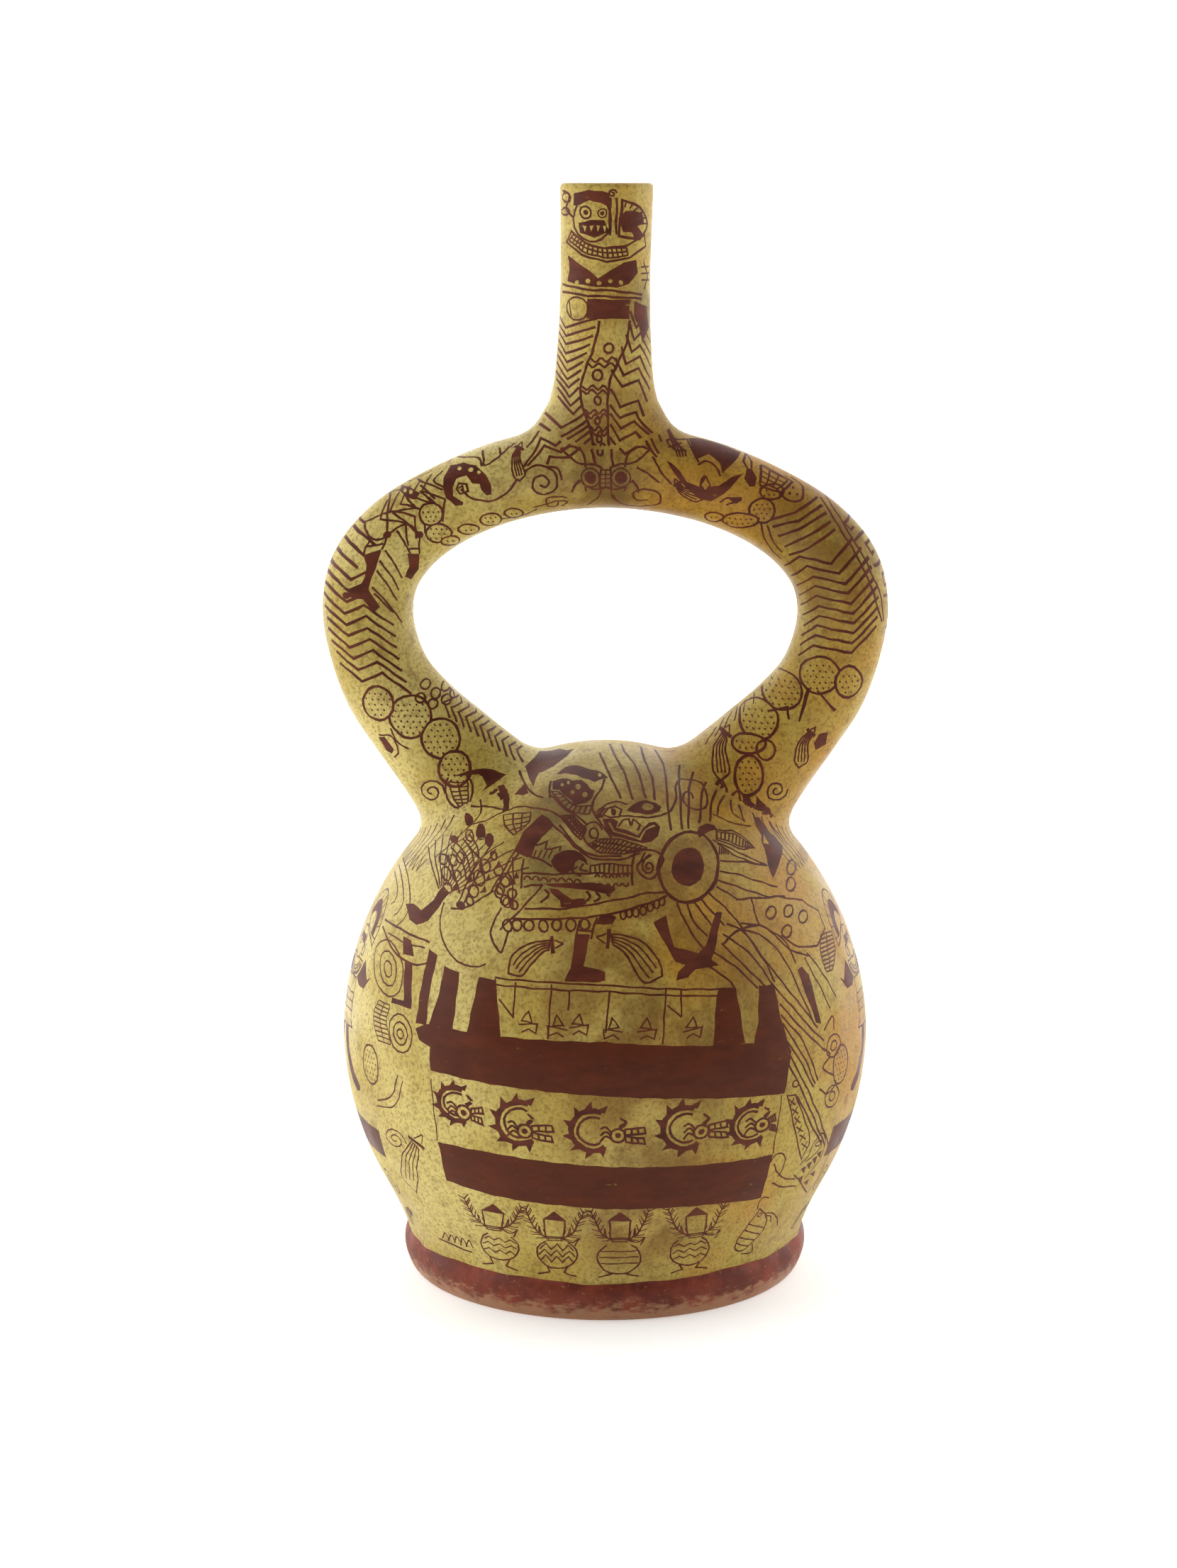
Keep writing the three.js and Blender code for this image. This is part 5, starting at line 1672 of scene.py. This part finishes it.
def stacked(rings, finish, towards, map_place):
    """Triangles through stacked rings of points and, where they end on the axis, a middle point."""
    rings = [np.asarray(ring) for ring in rings]
    count = len(rings[0])
    here = np.arange(count)
    after = (here + 1) % count
    last = len(rings) - 1 if len(rings[-1]) == 1 else len(rings)
    triangles = [
        np.vstack([
            np.column_stack([row + here, row + after, row + count + after]),
            np.column_stack([row + here, row + count + after, row + count + here]),
        ])
        for row in range(0, (last - 1) * count, count)
    ]
    if len(rings[-1]) == 1:
        row = (last - 1) * count
        triangles.append(np.column_stack([row + here, row + after, np.full(count, last * count)]))
    points, triangles = np.vstack(rings), np.vstack(triangles)
    corners = points[triangles]
    facing = np.cross(corners[:, 1] - corners[:, 0], corners[:, 2] - corners[:, 0])
    normals = np.zeros_like(points)
    for corner in range(3):
        np.add.at(normals, triangles[:, corner], facing)
    normals = unit(normals)
    if (normals * towards(points)).sum() < 0:
        triangles, normals = triangles[:, ::-1], -normals
    on_map = map_place(points[triangles][..., :2], points[triangles])
    return points, normals, triangles, np.full(len(triangles), finish), on_map


def ring_at(radius, height):
    turn = np.arange(BASE_POINTS) * 2 * math.pi / BASE_POINTS - math.pi
    return np.column_stack([radius * np.cos(turn), radius * np.sin(turn), np.full(BASE_POINTS, height)])


def lip_rings():
    """The lip's rings, from the top of the painted spout over the rim to the top of the throat."""
    turns = np.linspace(-math.pi, math.pi, SEAM_POINTS)[:-1]
    throat_rim = SPOUT_RADIUS - SPOUT_WALL
    quarter = np.linspace(0.0, math.pi / 2, 6)
    profile = [
        (SPOUT_RIM_RADIUS - LIP_ROUND * (1 - math.cos(turn)), RIM_Z - LIP_ROUND * (1 - math.sin(turn)))
        for turn in quarter
    ] + [
        (throat_rim + LIP_ROUND * (1 - math.sin(turn)), RIM_Z - LIP_ROUND * (1 - math.cos(turn)))
        for turn in quarter
    ] + [(throat_rim, RIM_Z - 2 * LIP_ROUND)]
    return [
        np.column_stack([
            spout.axis(height) + radius * np.sin(turns), -radius * np.cos(turns), np.full(len(turns), height)
        ])
        for radius, height in profile
    ]


def up(points):
    return np.array([0.0, 0.0, 1.0])


def down(points):
    return np.array([0.0, 0.0, -1.0])


FLOOR_RING = 22.0
sole = [
    ring_at(*FOOT_FACE[0]), ring_at(SOLE_INNER, 0.0), ring_at(*RECESS), ring_at(FLOOR_RING, RECESS[1]),
    [(0.0, 0.0, RECESS[1])],
]
chamber_floor = [
    ring_at(hollow.line[0, 0], CHAMBER_FLOOR), ring_at(FLOOR_RING, CHAMBER_FLOOR),
    [(0.0, 0.0, CHAMBER_FLOOR)],
]
inside_seeds = [
    chamber_seeds(inner[0], INNER_STEP, INNER_STEP), *[strip_seeds(tube, INNER_STEP) for tube in inner[1:]],
]
inside_maps = [moved_map(326.0, 290.0, SMALL), moved_map(298.0, 330.0, 0.15), moved_map(330.0, 270.0, 0.15)]
parts = [
    gathered(outer[0], chamber_seeds(outer[0], STEP, FOOT_STEP), crown_and_walls),
    gathered(outer[1], strip_seeds(outer[1], TUBE_STEP), moved_map(-8.0, 307.0)),
    gathered(outer[2], strip_seeds(outer[2], TUBE_STEP), moved_map(272.0, -92.0)),
    stacked(lip_rings(), SLIP, up, from_below(330.0, 225.0, 1.0)),
    stacked(sole, CLAY, down, from_below(276.0, 236.0, 0.45)),
    *[gathered(*inside, inward=True) for inside in zip(inner, inside_seeds, inside_maps)],
    stacked(chamber_floor, CLAY, up, from_below(326.0, 318.0, 0.2)),
]


MERGE_WITHIN = 0.002 * MM


def vessel_mesh(parts):
    """One mesh from the parts, joined where their edges meet, with its facing kept for smooth shading."""
    starts = np.cumsum([0] + [len(part[0]) for part in parts])
    triangles = np.vstack([part[2] + start for part, start in zip(parts, starts)])
    mesh = bpy.data.meshes.new("vessel_body")
    mesh.from_pydata((np.vstack([part[0] for part in parts]) * MM).tolist(), [], triangles.tolist())
    finishes = np.concatenate([part[3] for part in parts])
    mesh.polygons.foreach_set("material_index", finishes.astype(np.int32))
    mesh.polygons.foreach_set("use_smooth", np.ones(len(triangles), bool))
    uv = mesh.uv_layers.new(name="OFBake")
    on_map = np.concatenate([part[4].reshape(-1, 2) for part in parts])
    uv.data.foreach_set("uv", (on_map / MAP_SIDE).ravel())
    facing = mesh.attributes.new("facing", "FLOAT_VECTOR", "POINT")
    facing.data.foreach_set("vector", np.vstack([part[1] for part in parts]).ravel())
    work = bmesh.new()
    work.from_mesh(mesh)
    rims = [vert for vert in work.verts if vert.is_boundary]
    bmesh.ops.remove_doubles(work, verts=rims, dist=MERGE_WITHIN)
    work.to_mesh(mesh)
    work.free()
    return mesh


# The finishes: a cream slip burnished with a pebble, painting in a dark red-brown slip that has worn thin
# in places, the same slip laid broadly on bands and foot, and the bare fired clay under the foot and
# inside.
OLIVE_CREAM = (0.430, 0.318, 0.066)
OCHRE_CREAM = (0.420, 0.212, 0.026)
PALE_CREAM = (0.570, 0.460, 0.150)
# A dark earth brown for freckles, grain and the brown patches, among them painted shade on the right arm.
DARK_EARTH = (0.150, 0.068, 0.010)
# A dusky brown for the darker patches, among them painted shade on the spout's right side.
DUSKY_BROWN = (0.080, 0.054, 0.018)
LINE_BROWN = (0.060, 0.014, 0.008)
LINE_RED = (0.130, 0.032, 0.016)
BAND_BROWN = (0.102, 0.023, 0.008)
BAND_DARK = (0.070, 0.016, 0.007)
FOOT_RED = (0.240, 0.048, 0.026)
FOOT_DARK = (0.125, 0.026, 0.015)
FOOT_WORN = (0.380, 0.200, 0.105)
FIRED_CLAY = (0.420, 0.255, 0.140)


class Finish:
    """A material with the nodes that make it, each added by one short call."""

    def __init__(self, name):
        self.material = bpy.data.materials.new(name)
        self.material.use_nodes = True
        self.tree = self.material.node_tree
        self.shader = self.tree.nodes["Principled BSDF"]
        self.place = self.add("ShaderNodeTexCoord").outputs["Object"]

    def add(self, kind, inputs=(), **settings):
        made = self.tree.nodes.new(kind)
        for name, value in settings.items():
            setattr(made, name, value)
        for key, value in dict(inputs).items():
            if isinstance(value, bpy.types.NodeSocket):
                self.tree.links.new(value, made.inputs[key])
            else:
                made.inputs[key].default_value = value
        return made

    def noise(self, size, detail=3.0, stretch=(1.0, 1.0, 1.0), rough=0.55, shift=(0.0, 0.0, 0.0)):
        """A soft pattern with features of about so many millimetres, from 0 to 1."""
        place = self.add("ShaderNodeMapping", {"Vector": self.place, "Location": shift, "Scale": stretch})
        made = self.add("ShaderNodeTexNoise", {
            "Vector": place.outputs[0], "Scale": 1.0 / (size * MM), "Detail": detail, "Roughness": rough,
        })
        return made.outputs["Fac"]

    def between(self, value, low, high, to=(0.0, 1.0)):
        made = self.add("ShaderNodeMapRange", {
            "Value": value, "From Min": low, "From Max": high, "To Min": to[0], "To Max": to[1],
        }, interpolation_type="SMOOTHSTEP")
        return made.outputs["Result"]

    def along_axis(self, axis, wander, amount):
        """Millimetres along an axis of the object, with a wander added to them."""
        parts = self.add("ShaderNodeSeparateXYZ", {"Vector": self.place})
        scaled = self.add("ShaderNodeMath", {0: parts.outputs[axis], 1: 1.0 / MM}, operation="MULTIPLY")
        drift = self.add("ShaderNodeMath", {0: wander, 1: amount, 2: -amount / 2}, operation="MULTIPLY_ADD")
        total = self.add("ShaderNodeMath", {0: scaled.outputs[0], 1: drift.outputs[0]}, operation="ADD")
        return total.outputs[0]

    def around(self, middle, reach, ragged, most=0.6):
        """A ragged patch round a place, from 0 outside it to so much within."""
        centre = [value * MM for value in middle]
        away = self.add("ShaderNodeVectorMath", {0: self.place, 1: centre}, operation="DISTANCE")
        close = self.between(away.outputs["Value"], reach * MM, reach * MM * 0.25)
        torn = self.between(ragged, 0.3, 0.62, (0.15, 1.1))
        patch = self.add("ShaderNodeMath", {0: close, 1: torn}, operation="MULTIPLY")
        return self.add("ShaderNodeMath", {0: patch.outputs[0], 1: most}, operation="MULTIPLY").outputs[0]

    def blend(self, share, first, second, how="MIX"):
        made = self.add("ShaderNodeMix", data_type="RGBA", blend_type=how)
        for key, value in (("Factor", share), (6, first), (7, second)):
            socket = made.inputs[key]
            if isinstance(value, bpy.types.NodeSocket):
                self.tree.links.new(value, socket)
            else:
                socket.default_value = value if isinstance(value, float) else (*value, 1.0)
        return made.outputs[2]

    def wire(self, name, value):
        self.tree.links.new(value, self.shader.inputs[name])

    def bump(self, height, depth):
        made = self.add("ShaderNodeBump", {"Height": height, "Distance": depth * MM, "Strength": 1.0})
        self.wire("Normal", made.outputs["Normal"])


# Dusky patches on the slip, each a centre and a reach in millimetres. The one on the spout's right side is
# painted shade, on the side away from the stronger light. The others darken the dome and the top of the loop
# under the spout.
DUSKY_PATCHES = [
    ((-11.0, -34.0, 138.0), 15.0), ((11.0, -7.0, 266.0), 13.0), ((-14.0, -48.0, 122.0), 13.0),
    ((2.0, -9.0, 221.0), 15.0),
]
# Brown patches on the slip, each a centre and a reach in millimetres. The one on the right arm is painted
# shade, on the side away from the stronger light. The others darken the dome, the top of the loop under the
# spout and the front of the belly.
BROWN_PATCHES = [
    ((6.0, -38.0, 134.0), 44.0), ((2.0, -11.0, 220.0), 40.0), ((58.0, -12.0, 200.0), 34.0),
    ((14.0, -70.0, 88.0), 56.0), ((12.0, -68.0, 34.0), 34.0),
]


def cream_slip(finish):
    """The colour of the slip, wherever it shows: clouded, paler to the left as painted light, darker and
    warmer to the right as painted shade, freckled, and darker in patches.
    """
    clouds = finish.between(finish.noise(30.0, 5.0), 0.34, 0.66)
    # From left to right the slip goes from pale olive to darker ochre. This is partly its own tone, partly
    # painted light on the left, where more light falls, and partly painted shade on the right.
    across = finish.along_axis(0, finish.noise(48.0, 2.0, shift=(0.2, 0.0, 0.4)), 60.0)
    tone_and_side_light = finish.between(across, -24.0, 34.0)
    deep, pale = finish.blend(tone_and_side_light, OLIVE_CREAM, OCHRE_CREAM), finish.blend(tone_and_side_light, PALE_CREAM, OLIVE_CREAM)
    ground = finish.blend(clouds, deep, pale)
    freckles = finish.between(finish.noise(4.6, 7.0, rough=0.72), 0.48, 0.72, (0.0, 0.56))
    ground = finish.blend(freckles, ground, DARK_EARTH)
    # Brown patches, one of them painted shade on the right arm.
    for middle, reach in BROWN_PATCHES:
        brown_patch = finish.around(middle, reach, finish.noise(13.0, 5.0, rough=0.62, shift=(0.5, 0.2, 0.0)), 0.72)
        ground = finish.blend(brown_patch, ground, DARK_EARTH)
    # Darker patches, one of them painted shade on the spout's right side.
    for middle, reach in DUSKY_PATCHES:
        dusky_patch = finish.around(middle, reach, finish.noise(7.0, 5.0, rough=0.6))
        ground = finish.blend(dusky_patch, ground, DUSKY_BROWN)
    grain = finish.between(finish.noise(0.9, 3.0, rough=0.6), 0.44, 0.7, (0.0, 0.6))
    return finish.blend(grain, ground, DARK_EARTH)


def slip_finish():
    finish = Finish("cream_slip")
    finish.wire("Base Color", cream_slip(finish))
    finish.wire("Roughness", finish.between(finish.noise(14.0, 3.0), 0.3, 0.7, (0.38, 0.56)))
    finish.bump(finish.noise(2.2, 4.0), 0.05)
    finish.shader.inputs["Specular IOR Level"].default_value = 0.17
    return finish.material


def painted_finish(name, dark, light, wear, roughness):
    """A red-brown slip over the cream: it varies in strength, and where it has worn the cream shows."""
    finish = Finish(name)
    strength = finish.between(finish.noise(6.0, 5.0, (0.6, 0.6, 1.5), 0.62, (0.3, 0.1, 0.0)), 0.28, 0.78)
    colour = finish.blend(strength, dark, light)
    scuffs = finish.between(finish.noise(2.0, 5.0, (0.5, 0.5, 1.8), 0.72, (0.0, 0.7, 0.2)), *wear)
    finish.wire("Base Color", finish.blend(scuffs, colour, cream_slip(finish)))
    finish.wire("Roughness", finish.between(finish.noise(11.0, 3.0), 0.3, 0.7, roughness))
    finish.bump(finish.noise(2.2, 4.0), 0.05)
    finish.shader.inputs["Specular IOR Level"].default_value = 0.1
    return finish.material


def foot_finish():
    """Red slip on the foot ring, worn back to tan along its lower bevel where the pot was set down."""
    finish = Finish("red_foot")
    colour = finish.blend(finish.between(finish.noise(8.0, 4.0), 0.35, 0.68), FOOT_DARK, FOOT_RED)
    ragged = finish.noise(2.2, 5.0, stretch=(0.6, 0.6, 1.4), rough=0.65)
    rub = finish.between(finish.along_axis(2, ragged, 16.0), 6.6, 1.0)
    flecks = finish.between(finish.noise(1.3, 4.0, rough=0.7), 0.6, 0.72, (0.0, 0.7))
    colour = finish.blend(finish.between(rub, 0.0, 1.0, (0.0, 0.8)), colour, FOOT_WORN)
    finish.wire("Base Color", finish.blend(flecks, colour, FOOT_WORN))
    finish.wire("Roughness", finish.between(finish.noise(11.0, 3.0), 0.3, 0.7, (0.38, 0.6)))
    finish.bump(finish.noise(2.2, 4.0), 0.06)
    finish.shader.inputs["Specular IOR Level"].default_value = 0.16
    return finish.material


def clay_finish():
    finish = Finish("fired_clay")
    blotches = finish.between(finish.noise(7.0, 5.0), 0.35, 0.8, (0.0, 0.4))
    finish.wire("Base Color", finish.blend(blotches, FIRED_CLAY, DARK_EARTH))
    finish.shader.inputs["Roughness"].default_value = 0.85
    finish.bump(finish.noise(1.2, 5.0), 0.25)
    return finish.material


mesh = vessel_mesh(parts)
for material in (
    slip_finish(),
    painted_finish("brown_line", LINE_BROWN, LINE_RED, (0.64, 0.78), (0.4, 0.55)),
    painted_finish("brown_band", BAND_DARK, BAND_BROWN, (0.64, 0.8), (0.34, 0.48)),
    foot_finish(),
    clay_finish(),
):
    mesh.materials.append(material)
vessel = bpy.data.objects.new("painted_vessel", mesh)
bpy.context.scene.collection.objects.link(vessel)
facing = np.zeros(len(mesh.vertices) * 3, np.float32)
mesh.attributes["facing"].data.foreach_get("vector", facing)
mesh.normals_split_custom_set_from_vertices(facing.reshape(-1, 3).tolist())
mesh.attributes.remove(mesh.attributes["facing"])
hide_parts("vessel")
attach(vessel, "root")

# The setting: a pale paper sweep that the pot stands on, with soft light from all round it.
CAMERA_PLACE = (-4.6, -870.0, 300.0)
CAMERA_DIP = math.radians(10.66)
FRAME_HEIGHT_PX = 2212.0
FOCAL_PX = 4506.0
SENSOR = 36.0
FLOOR_REACH = 4.0
FLOOR_BACK = 0.165
FLOOR_DROP = 0.0001
ROOM_FRONT = 0.06
ROOM_BACK = 2.4

floor_mesh = bpy.data.meshes.new("paper_floor")
floor_corners = [
    (-FLOOR_REACH, -FLOOR_REACH, -FLOOR_DROP), (FLOOR_REACH, -FLOOR_REACH, -FLOOR_DROP),
    (FLOOR_REACH, FLOOR_BACK, -FLOOR_DROP), (-FLOOR_REACH, FLOOR_BACK, -FLOOR_DROP),
]
floor_mesh.from_pydata(floor_corners, [], [(0, 1, 2, 3)])
floor = bpy.data.objects.new("paper_floor", floor_mesh)
bpy.context.scene.collection.objects.link(floor)
paper = bpy.data.materials.new("paper")
paper.use_nodes = True
paper.node_tree.nodes["Principled BSDF"].inputs["Base Color"].default_value = (0.86, 0.86, 0.84, 1.0)
paper.node_tree.nodes["Principled BSDF"].inputs["Roughness"].default_value = 0.9
paper.node_tree.nodes["Principled BSDF"].inputs["Emission Color"].default_value = (1.0, 1.0, 0.98, 1.0)
paper.node_tree.nodes["Principled BSDF"].inputs["Emission Strength"].default_value = 0.42
floor_mesh.materials.append(paper)

world = bpy.data.worlds.new("white_room")
bpy.context.scene.world = world
bpy.context.scene.view_settings.view_transform = "Standard"
world.use_nodes = True
room = world.node_tree
way = room.nodes.new("ShaderNodeTexCoord").outputs["Generated"]
split_way = room.nodes.new("ShaderNodeSeparateXYZ")
room.links.new(way, split_way.inputs[0])
dimming = room.nodes.new("ShaderNodeMapRange")
for name, value in {"From Min": -0.5, "From Max": 0.6, "To Min": ROOM_FRONT, "To Max": ROOM_BACK}.items():
    dimming.inputs[name].default_value = value
room.links.new(split_way.outputs[1], dimming.inputs["Value"])
room.links.new(dimming.outputs["Result"], room.nodes["Background"].inputs["Strength"])
room.nodes["Background"].inputs["Color"].default_value = (1.0, 1.0, 1.0, 1.0)


def soft_light(name, place, size, power, colour=(1.0, 1.0, 1.0)):
    """A square soft box that faces the middle of the pot."""
    light = bpy.data.lights.new(name, "AREA")
    light.energy, light.size, light.color = power, size, colour
    box = bpy.data.objects.new(name, light)
    box.location = place
    box.rotation_euler = (Vector((0.0, 0.0, 0.13)) - Vector(place)).to_track_quat("-Z", "Y").to_euler()
    bpy.context.scene.collection.objects.link(box)


soft_light("left_box", (-1.1, -0.25, 0.5), 0.8, 6.0)
soft_light("right_box", (1.1, 0.0, 0.5), 0.7, 2.8)

lens = bpy.data.cameras.new("camera")
lens.sensor_fit = "VERTICAL"
lens.sensor_height = SENSOR
lens.lens = SENSOR * FOCAL_PX / FRAME_HEIGHT_PX
lens.clip_start, lens.clip_end = 0.05, 20.0
camera = bpy.data.objects.new("camera", lens)
camera.location = Vector(CAMERA_PLACE) * MM
camera.rotation_euler = (math.pi / 2 - CAMERA_DIP, 0.0, 0.0)
bpy.context.scene.collection.objects.link(camera)
bpy.context.scene.camera = camera
